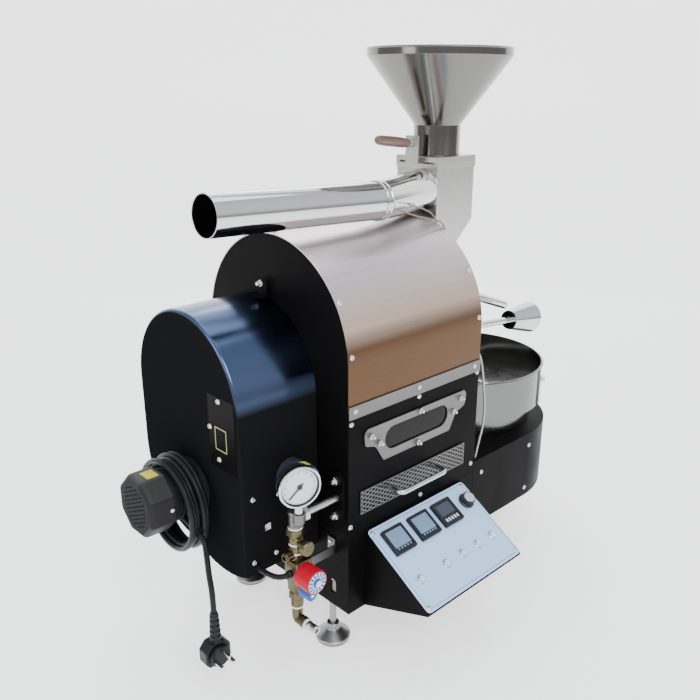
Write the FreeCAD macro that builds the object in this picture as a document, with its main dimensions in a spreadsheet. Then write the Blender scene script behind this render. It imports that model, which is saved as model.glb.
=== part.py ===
import FreeCAD, Part
import math
import os
from types import SimpleNamespace

import Sketcher
from FreeCAD import Placement, Rotation, Vector

# Home drum coffee roaster, about one kilogram of beans.
# Machine frame while building: x = 0 at the rear face of the rear plate, y = 0 on the drum's
# centre plane, z = 0 on the table. The finished model is moved so that its origin lies under
# the middle of its box.

doc = FreeCAD.newDocument("CoffeeRoaster")
sheet = doc.addObject("Spreadsheet::Sheet", "Sizes")

DRIVING_SIZES = (
    ("body_length", 324.0, "casing from rear face to front face"),
    ("body_half", 180.8, "half the width of the casing"),
    ("base_bottom", 88.5, "underside of the base frame above the table"),
    ("ledge_z", 242.0, "top of the base frame"),
    ("arch_z", 530.3, "centre height of the casing arch"),
    ("seam_z", 456.4, "joint between side panels and arched cover"),
    ("sheet_t", 2.0, "sheet metal of the casing"),
    ("plate_t", 6.0, "end plates"),
    ("gap", 0.3, "clearance between pieces that pass each other"),
    ("fit", 0.05, "radial clearance of shafts and stems"),
    ("strip_low", 445.4, "lower edge of the seam strips"),
    ("strip_wide", 22.0, "height of the seam strips"),
    ("strip_t", 2.5, "thickness of the seam strips"),
    ("drum_r", 130.0, "outer radius of the drum"),
    ("drum_z", 530.0, "height of the drum axis"),
    ("drum_t", 3.0, "drum wall"),
    ("drum_rear", 24.0, "rear face of the drum"),
    ("drum_length", 274.0, "length of the drum"),
    ("vane_tall", 22.0, "height of the mixing vanes"),
    ("vane_t", 2.5, "thickness of the mixing vanes"),
    ("vane_twist", 24.0, "twist of a vane along the drum, degrees"),
    ("shaft_r", 12.5, "radius of the drum shaft"),
    ("bearing_hole", 22.0, "radius of the bearing seats in the end plates"),
    ("bearing_t", 12.0, "thickness of the bearing flanges"),
    ("burner_z", 350.0, "height of the burner tubes"),
    ("burner_r", 8.0, "radius of the burner tubes"),
    ("window_left", 79.0, "glass opening, rear end"),
    ("window_right", 236.0, "glass opening, front end"),
    ("window_z", 388.0, "height of the glass opening's centre"),
    ("window_r", 20.0, "radius of the glass opening's round ends"),
    ("window_lap", 4.0, "how far the frame laps over the glass"),
    ("frame_t", 3.0, "thickness of the window frame"),
    ("drawer_left", 24.3, "drawer front, rear edge"),
    ("drawer_right", 288.0, "drawer front, front edge"),
    ("drawer_low", 272.0, "drawer front, lower edge"),
    ("drawer_high", 314.0, "drawer front, upper edge"),
    ("drawer_lap", 4.0, "how far the drawer front laps over its opening"),
    ("drawer_t", 3.0, "thickness of the drawer front"),
    ("drawer_deep", 168.0, "depth of the drawer tray"),
    ("pull_rear", 88.0, "rear leg of the drawer pull"),
    ("pull_span", 111.0, "distance between the legs of the drawer pull"),
    ("pull_z", 300.0, "height of the drawer pull"),
    ("pull_out", 31.0, "how far the drawer pull stands off"),
    ("pull_r", 4.5, "radius of the drawer pull's rod"),
    ("drive_deep", 152.0, "depth of the drive cover"),
    ("drive_y", 36.0, "centre of the drive cover's arch"),
    ("drive_z", 464.0, "height of the drive cover's arch centre"),
    ("drive_r", 141.5, "radius of the drive cover's arch"),
    ("drive_turn_z", 345.0, "where the far side of the drive cover starts to curve in"),
    ("drive_corner_z", 195.0, "near lower corner of the drive cover"),
    ("belly_r", 149.0, "radius of the drive cover's underside"),
    ("motor_y", 30.0, "gear motor axis, sideways"),
    ("motor_z", 310.0, "height of the gear motor axis"),
    ("motor_r", 45.0, "radius of the gear motor"),
    ("motor_length", 64.0, "length of the gear motor's can"),
    ("boss_r", 28.0, "radius of the gearbox boss"),
    ("boss_deep", 22.0, "how far the gearbox boss reaches into the drive cover"),
    ("cap_flats", 98.0, "fan cap across flats"),
    ("cap_length", 42.0, "length of the fan cap"),
    ("spindle_r", 8.0, "radius of the motor's output shaft"),
    ("chain_plane", -55.0, "middle plane of the chain"),
    ("chain_pitch", 8.0, "chain pitch"),
    ("drum_teeth", 40.0, "teeth of the drum sprocket"),
    ("motor_teeth", 14.0, "teeth of the motor sprocket"),
    ("sprocket_t", 3.0, "thickness of the sprockets"),
    ("roller_r", 2.5, "radius of the chain's rollers"),
    ("can_x", -60.0, "side motor axis, lengthways"),
    ("can_z", 350.0, "height of the side motor axis"),
    ("can_r", 28.0, "radius of the side motor"),
    ("can_length", 46.0, "length of the side motor"),
    ("gas_x", -92.0, "gas column, lengthways"),
    ("gas_y", -159.0, "gas column, sideways"),
    ("gas_z", 305.6, "height of the gas tube"),
    ("gas_tube_r", 6.0, "radius of the gas tube"),
    ("gauge_z", 369.0, "height of the pressure gauge's centre"),
    ("gauge_r", 34.0, "radius of the gauge bezel"),
    ("gauge_t", 26.0, "depth of the gauge case"),
    ("gauge_turn", 17.2, "how far the gauge is turned to the drive end, degrees"),
    ("valve_z", 213.0, "height of the solenoid axis"),
    ("valve_r", 20.0, "radius of the solenoid coil"),
    ("valve_length", 34.0, "length of the solenoid coil"),
    ("chute_rear", 343.0, "rear wall of the bean chute"),
    ("chute_deep", 105.0, "chute from rear wall to front wall"),
    ("chute_half", 50.0, "half the width of the chute"),
    ("chute_top", 787.0, "top edge of the chute"),
    ("chute_knee", 690.0, "where the front wall starts to slope back"),
    ("chute_foot", 572.0, "lower edge of the chute on the front plate"),
    ("chute_t", 2.0, "chute wall"),
    ("cap_t", 22.0, "height of the gate housing"),
    ("cap_lap", 1.5, "how far the gate housing stands over the chute"),
    ("neck_r", 43.0, "radius of the hopper neck"),
    ("neck_tall", 54.0, "height of the hopper neck"),
    ("hopper_r", 132.0, "radius of the hopper rim"),
    ("hopper_cone", 118.0, "height of the hopper cone"),
    ("hopper_band", 14.0, "height of the band under the rim"),
    ("hopper_t", 1.5, "hopper wall"),
    ("gate_t", 3.0, "thickness of the slide gate"),
    ("gate_hole", 38.0, "radius of the hole that the gate closes"),
    ("gate_z", 797.0, "underside of the slide gate"),
    ("grip_z", 832.0, "height of the wooden grip at its ferrule"),
    ("grip_x", 327.0, "ferrule face of the wooden grip"),
    ("grip_r", 9.2, "largest radius of the wooden grip"),
    ("grip_length", 92.0, "length of the wooden grip"),
    ("grip_rise", 6.5, "upward slope of the wooden grip, degrees"),
    ("pipe_r", 31.75, "outer radius of the exhaust pipe"),
    ("pipe_t", 1.5, "exhaust pipe wall"),
    ("pipe_rear", -154.9, "open end of the exhaust pipe"),
    ("pipe_rear_y", -56.0, "the open end's centre, sideways"),
    ("pipe_rear_z", 760.8, "height of the open end's centre"),
    ("pipe_joint", 190.0, "joint of the exhaust pipe with its adapter"),
    ("pipe_joint_y", -49.5, "that joint's centre, sideways"),
    ("pipe_joint_z", 748.0, "height of that joint's centre"),
    ("pipe_front_y", -12.0, "adapter's centre at the chute, sideways"),
    ("pipe_front_z", 749.5, "height of the adapter's centre at the chute"),
    ("adapter_r", 37.5, "radius of the adapter at the chute"),
    ("door_hinge_x", 336.0, "hinge line of the discharge door"),
    ("door_hinge_z", 492.0, "height of that hinge line"),
    ("door_half", 55.0, "half the width of the discharge opening"),
    ("door_low", 408.0, "lower edge of the discharge opening"),
    ("door_high", 480.0, "upper edge of the discharge opening"),
    ("door_lap", 4.0, "how far the door laps over its opening"),
    ("door_t", 4.0, "thickness of the door"),
    ("hinge_r", 6.0, "radius of the door shaft"),
    ("lever_y", -150.0, "plane of the door lever"),
    ("lever_z", 519.0, "height of the lever rod at the door shaft"),
    ("lever_drop", 6.0, "downward slope of the lever rod, degrees"),
    ("lever_out", 20.0, "how far outside the door shaft the rod leaves its crank"),
    ("lever_rod_r", 6.5, "radius of the lever rod"),
    ("lever_reach", 115.0, "lever rod up to the counterweight"),
    ("weight_length", 66.0, "length of the counterweight"),
    ("weight_r", 30.0, "large end of the counterweight"),
    ("weight_neck", 18.0, "small end of the counterweight"),
    ("trier_y", -85.0, "plane of the bean sampler"),
    ("trier_z", 586.0, "height of the sampler at the front plate"),
    ("trier_drop", 20.3, "downward slope of the sampler, degrees"),
    ("trier_r", 7.0, "radius of the sampler's scoop"),
    ("sight_y", 84.0, "sight window, sideways"),
    ("sight_z", 562.0, "sight window, height"),
    ("sight_r", 26.0, "radius of the sight window's opening"),
    ("cooler_x", 505.0, "centre of the cooling base"),
    ("cooler_low", 118.0, "underside of the cooling base"),
    ("cooler_high", 260.0, "top of the cooling base"),
    ("tray_x", 503.0, "centre of the cooling tray"),
    ("tray_r", 169.0, "outer radius of the cooling tray"),
    ("tray_t", 2.0, "cooling tray wall"),
    ("tray_low", 302.0, "underside of the cooling tray"),
    ("tray_rim", 384.0, "rim of the cooling tray"),
    ("plenum_r", 150.0, "radius of the air box under the tray"),
    ("tray_roll", 3.0, "how far the tray's rim turns out"),
    ("floor_t", 1.5, "perforated floor"),
    ("stir_shaft_r", 10.0, "radius of the stirrer shaft"),
    ("stir_reach", 162.0, "reach of the stirrer arms"),
    ("stir_high", 356.0, "top of the stirrer hub"),
    ("stir_motor_r", 38.0, "radius of the stirrer motor"),
    ("fan_x", 405.0, "cooling fan, lengthways"),
    ("fan_y", 92.0, "cooling fan, sideways"),
    ("fan_r", 52.0, "radius of the cooling fan"),
    ("outlet_angle", -58.0, "where the tray's outlet gate sits, degrees"),
    ("outlet_half", 10.0, "half the angle that the outlet spans, degrees"),
    ("outlet_tall", 29.0, "height of the outlet"),
    ("panel_x", 37.8, "control panel, rear edge"),
    ("panel_y", -185.4, "control panel, upper edge, sideways"),
    ("panel_z", 236.3, "control panel, upper edge, height"),
    ("panel_long", 245.4, "control panel along the machine"),
    ("panel_down", 163.3, "control panel from upper to lower edge"),
    ("panel_tilt", 31.2, "slope of the control panel, degrees"),
    ("panel_t", 2.5, "control panel sheet"),
    ("meter_side", 48.0, "front of a controller"),
    ("meter_down", 14.0, "controllers below the panel's upper edge"),
    ("meter_proud", 7.0, "how far a controller's front stands proud"),
    ("meter_deep", 24.0, "controller behind the panel"),
    ("button_down", 113.0, "buttons below the panel's upper edge"),
    ("button_r", 5.5, "radius of a push button"),
    ("bezel_r", 8.75, "radius of a push button's ring"),
    ("button_travel", 2.0, "push button travel"),
    ("knob_r", 15.0, "radius of the burner knob"),
    ("knob_tall", 15.0, "height of the burner knob"),
    ("foot_x", 18.0, "feet, from the ends of the base frame"),
    ("foot_y", 121.4, "feet, from the centre plane"),
    ("foot_r", 30.75, "radius of a foot pad"),
    ("foot_tall", 25.0, "height of a foot pad"),
    ("stem_r", 6.0, "radius of a foot stem"),
    ("flange_t", 3.0, "foot plates in the base frame"),
    ("cord_r", 4.75, "radius of the mains cord"),
    ("coil_half_y", 86.0, "half the width of the hung cord loops"),
    ("coil_half_z", 93.0, "half the height of the hung cord loops"),
    ("coil_thick", 28.0, "thickness of the hung cord loops"),
    ("coil_long", 50.0, "length of the hung cord loops along the motor"),
    ("probe_r", 2.25, "radius of the probe cable"),
    ("wire_r", 4.5, "radius of the solenoid cable"),
)


class Size:
    """A length or angle that knows its value and its formula in the sheet."""

    def __init__(self, value, formula):
        self.value = float(value)
        self.formula = formula

    def __add__(self, other):
        return Size(self.value + num(other), "(%s + %s)" % (self.formula, text(other)))

    def __radd__(self, other):
        return Size(num(other) + self.value, "(%s + %s)" % (text(other), self.formula))

    def __sub__(self, other):
        return Size(self.value - num(other), "(%s - %s)" % (self.formula, text(other)))

    def __rsub__(self, other):
        return Size(num(other) - self.value, "(%s - %s)" % (text(other), self.formula))

    def __mul__(self, other):
        return Size(self.value * num(other), "(%s * %s)" % (self.formula, text(other)))

    def __rmul__(self, other):
        return Size(num(other) * self.value, "(%s * %s)" % (text(other), self.formula))

    def __truediv__(self, other):
        return Size(self.value / num(other), "(%s / %s)" % (self.formula, text(other)))

    def __rtruediv__(self, other):
        return Size(num(other) / self.value, "(%s / %s)" % (text(other), self.formula))

    def __neg__(self):
        return Size(-self.value, "(0 - %s)" % self.formula)

    def __float__(self):
        return self.value


def num(size):
    return size.value if isinstance(size, Size) else float(size)


def text(size):
    return size.formula if isinstance(size, Size) else repr(float(size))


def sine(angle):
    return Size(math.sin(math.radians(num(angle))), "sin(%s)" % text(angle))


def cosine(angle):
    return Size(math.cos(math.radians(num(angle))), "cos(%s)" % text(angle))


def fill_sheet():
    """Write every driving size into the sheet and hand them back by name."""
    sizes = SimpleNamespace()
    for row, (name, value, meaning) in enumerate(DRIVING_SIZES, 1):
        sheet.set("A%d" % row, str(value))
        sheet.setAlias("A%d" % row, name)
        sheet.set("B%d" % row, "'" + meaning)
        setattr(sizes, name, Size(value, "Sizes." + name))
    doc.recompute()
    return sizes


S = fill_sheet()
NODES = {}
TURN = {
    "X": Rotation(Vector(0, 1, 0), 90),
    "-X": Rotation(Vector(0, 1, 0), -90),
    "Y": Rotation(Vector(1, 0, 0), -90),
    "-Y": Rotation(Vector(1, 0, 0), 90),
    "Z": Rotation(),
}


# ---------------------------------------------------------------- helpers

def bind(thing, prop, size):
    """Set a property and tie it to the sheet."""
    setattr(thing, prop, num(size))
    if isinstance(size, Size):
        thing.setExpression(prop, size.formula)


def vec(x, y, z):
    return Vector(num(x), num(y), num(z))


def put(thing, x, y, z, turn):
    thing.Placement = Placement(vec(x, y, z), turn)
    for letter, size in (("x", x), ("y", y), ("z", z)):
        if isinstance(size, Size):
            thing.setExpression("Placement.Base." + letter, size.formula)
    return thing


def box(x, y, z, long, wide, tall):
    made = doc.addObject("Part::Box", "Block")
    bind(made, "Length", long)
    bind(made, "Width", wide)
    bind(made, "Height", tall)
    return put(made, x, y, z, Rotation())


def rod(axis, x, y, z, radius, length):
    made = doc.addObject("Part::Cylinder", "Rod")
    bind(made, "Radius", radius)
    bind(made, "Height", length)
    return put(made, x, y, z, TURN[axis])


def cone(axis, x, y, z, start_r, end_r, length):
    made = doc.addObject("Part::Cone", "Cone")
    bind(made, "Radius1", start_r)
    bind(made, "Radius2", end_r)
    bind(made, "Height", length)
    return put(made, x, y, z, TURN[axis])


def prism(axis, x, y, z, sides, radius, length):
    made = doc.addObject("Part::Prism", "Prism")
    made.Polygon = sides
    bind(made, "Circumradius", radius)
    bind(made, "Height", length)
    return put(made, x, y, z, TURN[axis])


def fuse(*pieces):
    made = doc.addObject("Part::MultiFuse", "Joined")
    made.Shapes = list(pieces)
    return made


def cut(base, *tools):
    made = doc.addObject("Part::Cut", "Opened")
    made.Base = base
    made.Tool = tools[0] if len(tools) == 1 else fuse(*tools)
    return made


def group(*solids):
    made = doc.addObject("Part::Compound", "Group")
    made.Links = list(solids)
    return made


def shaped(shape):
    made = doc.addObject("Part::Feature", "Shaped")
    made.Shape = shape
    return made


def sub_part(node, thing, place=None):
    """Give a finished piece its name, and its place where it isn't built in place."""
    thing.Label = node
    if place is not None:
        thing.Placement = place
    NODES[node] = thing
    return thing


def new_body(name):
    return doc.addObject("PartDesign::Body", name.title().replace("_", ""))


def sketch_on(body, role, at=0.0):
    """A sketch on one of the body's own origin planes, moved along its normal."""
    made = body.newObject("Sketcher::SketchObject", "Profile")
    plane = [feature for feature in body.Origin.OriginFeatures if feature.Role == role][0]
    made.AttachmentSupport = [(plane, "")]
    made.MapMode = "FlatFace"
    made.AttachmentOffset = Placement(Vector(0, 0, num(at)), Rotation())
    if isinstance(at, Size):
        made.setExpression("AttachmentOffset.Base.z", at.formula)
    return made


def hold(held, kind, geometry, point, size):
    held.append((Sketcher.Constraint(kind, -1, 1, geometry, point, num(size)), size))


def apply_holds(profile, held):
    """Add the constraints in one go and tie those that come from the sheet."""
    first = profile.ConstraintCount
    profile.addConstraint([constraint for constraint, size in held])
    for index, (constraint, size) in enumerate(held):
        if isinstance(size, Size):
            profile.setExpression("Constraints[%d]" % (first + index), size.formula)


def outline(profile, corners):
    """A closed outline. A corner is (x, y), or (x, y, centre x, centre y, turn) where an arc
    starts: turn is 1 for counter-clockwise and -1 for clockwise."""
    first = profile.GeometryCount
    count = len(corners)
    held = []
    for index, corner in enumerate(corners):
        after = corners[(index + 1) % count]
        start = vec(corner[0], corner[1], 0)
        end = vec(after[0], after[1], 0)
        if len(corner) == 2:
            profile.addGeometry(Part.LineSegment(start, end), False)
            continue
        centre = vec(corner[2], corner[3], 0)
        a = start - centre
        b = end - centre
        if corner[4] < 0:
            a, b = b, a
        whole = Part.Circle(centre, Vector(0, 0, 1), a.Length)
        arc = Part.ArcOfCircle(whole, math.atan2(a.y, a.x), math.atan2(b.y, b.x))
        profile.addGeometry(arc, False)
    for index, corner in enumerate(corners):
        here = first + index
        after = first + (index + 1) % count
        follower = corners[(index + 1) % count]
        end = 1 if len(corner) == 5 and corner[4] < 0 else 2
        start = 2 if len(follower) == 5 and follower[4] < 0 else 1
        held.append((Sketcher.Constraint("Coincident", here, end, after, start), None))
    for index, corner in enumerate(corners):
        here = first + index
        after = corners[(index + 1) % count]
        start = 2 if len(corner) == 5 and corner[4] < 0 else 1
        hold(held, "DistanceX", here, start, corner[0])
        hold(held, "DistanceY", here, start, corner[1])
        if len(corner) == 5:
            across = abs(num(after[0]) - num(corner[0]))
            along = abs(num(after[1]) - num(corner[1]))
            if along > across:
                hold(held, "DistanceX", here, 3, corner[2])
            else:
                hold(held, "DistanceY", here, 3, corner[3])
    apply_holds(profile, held)


def rectangle(profile, left, low, right, high):
    outline(profile, [(left, low), (right, low), (right, high), (left, high)])


def circle(profile, x, y, radius):
    index = profile.addGeometry(Part.Circle(vec(x, y, 0), Vector(0, 0, 1), num(radius)), False)
    held = [(Sketcher.Constraint("Radius", index, num(radius)), radius)]
    hold(held, "DistanceX", index, 3, x)
    hold(held, "DistanceY", index, 3, y)
    apply_holds(profile, held)


def obround(profile, left, right, middle, radius):
    """A slot with round ends that runs along the sketch's x direction."""
    outline(profile, [
        (left + radius, middle - radius),
        (right - radius, middle - radius, right - radius, middle, 1),
        (right - radius, middle + radius),
        (left + radius, middle + radius, left + radius, middle, 1),
    ])


def feature(body, kind, profile):
    made = body.newObject("PartDesign::" + kind, kind)
    made.Profile = profile
    body.Tip = made
    return made


def pad(body, profile, length, both=False):
    made = feature(body, "Pad", profile)
    bind(made, "Length", length)
    made.SideType = "Symmetric" if both else "One side"
    return made


def pocket(body, profile, length):
    """Cut both ways from the sketch plane, so that its direction never matters."""
    made = feature(body, "Pocket", profile)
    bind(made, "Length", length)
    made.SideType = "Symmetric"
    return made


def revolve(body, profile, axis):
    made = feature(body, "Revolution", profile)
    made.ReferenceAxis = (profile, [axis])
    made.Angle = 360
    return made


def around(body, kept, axis_of, count, axis="N_Axis"):
    doc.recompute()
    made = body.newObject("PartDesign::PolarPattern", "Round")
    made.Originals = [kept]
    made.Axis = (axis_of, [axis])
    made.Angle = 360
    made.Occurrences = count
    body.Tip = made
    return made


def open_shell(body, solid, thickness, *directions):
    """Hollow the solid, leaving out its outermost face in each of the given directions."""
    doc.recompute()
    names = []
    for direction in directions:
        reach = [face.CenterOfMass.dot(direction) for face in solid.Shape.Faces]
        names.append("Face%d" % (reach.index(max(reach)) + 1))
    made = body.newObject("PartDesign::Thickness", "Shell")
    made.Base = (solid, names)
    bind(made, "Value", thickness)
    made.Reversed = True
    made.Join = 1
    body.Tip = made
    return made


def turned(name, corners, axis="V_Axis", role="XZ_Plane"):
    """A turned piece from its half profile."""
    body = new_body(name)
    profile = sketch_on(body, role)
    outline(profile, corners)
    revolve(body, profile, axis)
    return body


def route(points, share=0.45):
    """A path of straight runs joined by tangent arcs, and the arcs' radii."""
    nodes = [Vector(*point) for point in points]
    edges = []
    radii = []
    start = nodes[0]
    for before, corner, after in zip(nodes, nodes[1:], nodes[2:]):
        back = before - corner
        ahead = after - corner
        reach = share * min(back.Length, ahead.Length)
        turn = math.pi - back.getAngle(ahead)
        radii.append(reach / math.tan(turn / 2))
        arc_start = corner + back.normalize() * reach
        arc_end = corner + ahead.normalize() * reach
        middle = (back + ahead).normalize()
        depth = radii[-1] / math.cos(turn / 2) - radii[-1]
        edges.append(Part.LineSegment(start, arc_start).toShape())
        edges.append(Part.Arc(arc_start, corner + middle * depth, arc_end).toShape())
        start = arc_end
    edges.append(Part.LineSegment(start, nodes[-1]).toShape())
    return Part.Wire(edges), radii


def tube(points, radius, share=0.45):
    path, radii = route(points, share)
    heading = Vector(*points[1]) - Vector(*points[0])
    ring = Part.Wire([Part.makeCircle(num(radius), Vector(*points[0]), heading)])
    solid = path.makePipeShell([ring], True, False)
    section = math.pi * num(radius) ** 2
    print("tube of %.0f mm: arcs %s, volume against section x length %.4f" % (
        path.Length, ["%.0f" % value for value in radii], solid.Volume / (section * path.Length)))
    return solid


def perforation(columns, rows, pitch, side, within=None):
    """Square punches in a grid, 40 mm deep, and only those within a round field if given."""
    deep = 40.0
    punches = []
    for column in range(columns):
        for row in range(rows):
            out = math.hypot(column - (columns - 1) / 2, row - (rows - 1) / 2)
            if within is None or out <= within:
                corner = Vector(column * pitch, row * pitch, -deep / 2)
                punches.append(Part.makeBox(side, side, deep, corner))
    return Part.makeCompound(punches)


# ---------------------------------------------------------------- shared places

BODY_IN = S.body_half - S.sheet_t
PLATE_HALF = BODY_IN - S.gap
FRONT_X = S.body_length - S.plate_t
COVER_FACE = -S.drive_deep
GATE_X = S.chute_rear + S.chute_deep / 2
CAP_TOP = S.chute_top + S.cap_t
NECK_TOP = CAP_TOP + S.neck_tall
BAND_LOW = NECK_TOP + S.hopper_cone
HOPPER_TOP = BAND_LOW + S.hopper_band
DRAWER_FACE = S.body_half + S.gap
TOOTH_ROOT = 1.2


# ---------------------------------------------------------------- casing

def base_frame():
    """Folded box, open below, with foot plates inside and rails for the drawer on top."""
    body = new_body("base_frame")
    profile = sketch_on(body, "XY_Plane", S.base_bottom)
    rectangle(profile, 0.0, -S.body_half, S.body_length, S.body_half)
    block = pad(body, profile, S.ledge_z - S.base_bottom)
    open_shell(body, block, S.sheet_t, Vector(0, 0, -1))
    plates = sketch_on(body, "XY_Plane", S.base_bottom)
    half = S.foot_r
    for x in (S.foot_x, S.body_length - S.foot_x):
        for y in (S.foot_y, -S.foot_y):
            inner = x - S.foot_x + S.sheet_t / 2 if num(x) < 100 else x - half + S.stem_r
            outer = x + half - S.stem_r if num(x) < 100 else S.body_length - S.sheet_t / 2
            rectangle(plates, inner, y - half, outer, y + half)
    pad(body, plates, S.flange_t)
    holes = sketch_on(body, "XY_Plane", S.base_bottom)
    for x in (S.foot_x, S.body_length - S.foot_x):
        for y in (S.foot_y, -S.foot_y):
            circle(holes, x, y, S.stem_r + S.fit)
    pocket(body, holes, S.flange_t * 4)
    slots = sketch_on(body, "YZ_Plane")
    slot_y = 143.0
    slot_half = 6.0
    for side in (-1, 1):
        centre = side * slot_y
        outline(slots, [
            (centre + slot_half, 118.0),
            (centre + slot_half, 134.0, centre, 134.0, 1),
            (centre - slot_half, 134.0),
            (centre - slot_half, 118.0, centre, 118.0, 1),
        ])
    pocket(body, slots, S.sheet_t * 4)
    rails = sketch_on(body, "XZ_Plane", 12.0)
    rail_top = S.drawer_low + S.drawer_lap
    rail_wide = 12.0
    for x, side in ((S.drawer_left + 10.0, 1), (S.drawer_right - 10.0, -1)):
        outline(rails, [
            (x, S.ledge_z),
            (x + side * S.sheet_t, S.ledge_z),
            (x + side * S.sheet_t, rail_top - S.sheet_t),
            (x + side * rail_wide, rail_top - S.sheet_t),
            (x + side * rail_wide, rail_top),
            (x, rail_top),
        ])
    pad(body, rails, S.drawer_deep - 8.0)
    sub_part("base_frame", body)


def arch_plate(name, at):
    body = new_body(name)
    profile = sketch_on(body, "YZ_Plane", at)
    outline(profile, [
        (-PLATE_HALF, S.ledge_z),
        (PLATE_HALF, S.ledge_z),
        (PLATE_HALF, S.arch_z, 0.0, S.arch_z, 1),
        (-PLATE_HALF, S.arch_z),
    ])
    pad(body, profile, S.plate_t)
    seat = sketch_on(body, "YZ_Plane", at + S.plate_t / 2)
    circle(seat, 0.0, S.drum_z, S.bearing_hole)
    return body, seat


def rear_plate():
    body, seat = arch_plate("rear_plate", 0.0)
    pocket(body, seat, S.plate_t * 2)
    sub_part("rear_plate", body)


def front_plate():
    """End plate with the bean inlet, the discharge opening, hinge lugs and a spill lip."""
    body, seat = arch_plate("front_plate", FRONT_X)
    inlet_half = S.chute_half - 2 * S.chute_t
    rectangle(seat, -inlet_half, S.chute_foot + 8.0, inlet_half, S.chute_foot + 70.0)
    rectangle(seat, -S.door_half, S.door_low, S.door_half, S.door_high)
    circle(seat, S.sight_y, S.sight_z, S.sight_r)
    pocket(body, seat, S.plate_t * 2)
    lug_t = 6.0
    for y in (S.lever_y + 14.0, -S.door_half - 14.0, S.door_half + 12.0):
        lug = sketch_on(body, "XZ_Plane", -y)
        lug_r = S.hinge_r + 5.0
        outline(lug, [
            (S.body_length - 1.0, S.door_hinge_z - lug_r),
            (S.door_hinge_x, S.door_hinge_z - lug_r, S.door_hinge_x, S.door_hinge_z, 1),
            (S.door_hinge_x, S.door_hinge_z + lug_r),
            (S.body_length - 1.0, S.door_hinge_z + lug_r),
        ])
        pad(body, lug, lug_t)
        bore = sketch_on(body, "XZ_Plane", -y)
        circle(bore, S.door_hinge_x, S.door_hinge_z, S.hinge_r + S.fit)
        pocket(body, bore, lug_t * 4)
    lip = sketch_on(body, "XZ_Plane")
    outline(lip, [
        (S.body_length - 1.0, S.door_low - 12.0),
        (S.body_length + 14.0, S.door_low - 17.0),
        (S.body_length + 14.0, S.door_low - 15.0),
        (S.body_length - 1.0, S.door_low - 10.0),
    ])
    pad(body, lip, S.door_half * 2, both=True)
    drop = math.radians(num(S.trier_drop))
    along = Vector(math.cos(drop), 0, -math.sin(drop))
    middle = vec(FRONT_X, S.trier_y, S.trier_z)
    guide = Part.makeCylinder(num(S.trier_r + S.gap), 60.0, middle - along * 30.0, along)
    sub_part("front_plate", cut(body, shaped(guide)))


def copper_cover():
    body = new_body("copper_cover")
    profile = sketch_on(body, "YZ_Plane")
    outline(profile, [
        (S.body_half, S.seam_z),
        (S.body_half, S.arch_z, 0.0, S.arch_z, 1),
        (-S.body_half, S.arch_z),
        (-S.body_half, S.seam_z),
        (-BODY_IN, S.seam_z),
        (-BODY_IN, S.arch_z, 0.0, S.arch_z, -1),
        (BODY_IN, S.arch_z),
        (BODY_IN, S.seam_z),
    ])
    pad(body, profile, S.body_length)
    sub_part("copper_cover", body)


def cover_strips():
    near = box(0.0, -S.body_half - S.strip_t, S.strip_low, S.body_length, S.strip_t, S.strip_wide)
    far = box(0.0, S.body_half, S.strip_low, S.body_length, S.strip_t, S.strip_wide)
    sub_part("cover_strips", group(near, far))


def side_panels():
    """Near panel with openings for the window and the drawer, far panel plain."""
    body = new_body("near_panel")
    profile = sketch_on(body, "XZ_Plane", BODY_IN)
    rectangle(profile, 0.0, S.ledge_z, S.body_length, S.seam_z)
    pad(body, profile, S.sheet_t)
    holes = sketch_on(body, "XZ_Plane", BODY_IN)
    obround(holes, S.window_left - S.window_lap, S.window_right + S.window_lap,
            S.window_z, S.window_r + S.window_lap)
    rectangle(holes, S.drawer_left + S.drawer_lap, S.drawer_low + S.drawer_lap / 2,
              S.drawer_right - S.drawer_lap, S.drawer_high - S.drawer_lap / 2)
    pocket(body, holes, S.sheet_t * 4)
    far = box(0.0, BODY_IN, S.ledge_z, S.body_length, S.sheet_t, S.seam_z - S.ledge_z)
    sub_part("side_panels", group(body, far))


def window_frame():
    body = new_body("window_frame")
    profile = sketch_on(body, "XZ_Plane", S.body_half)
    left = S.window_left
    right = S.window_right
    outline(profile, [
        (left - 3.0, 353.0),
        (right + 6.0, 353.0),
        (right + 23.0, 383.0),
        (right + 47.0, 390.5),
        (right + 51.0, 412.0),
        (right + 44.0, 420.0),
        (left - 40.0, 420.0),
        (left - 47.0, 412.0),
        (left - 45.0, 390.5),
        (left - 22.0, 384.0),
    ])
    pad(body, profile, S.frame_t)
    opening = sketch_on(body, "XZ_Plane", S.body_half)
    obround(opening, left, right, S.window_z, S.window_r)
    pocket(body, opening, S.frame_t * 4)
    sub_part("window_frame", body)


def window_glass():
    body = new_body("window_glass")
    profile = sketch_on(body, "XZ_Plane", BODY_IN)
    lap = S.window_lap - S.gap
    obround(profile, S.window_left - lap, S.window_right + lap, S.window_z, S.window_r + lap)
    pad(body, profile, S.sheet_t)
    sub_part("window_glass", body)


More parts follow.
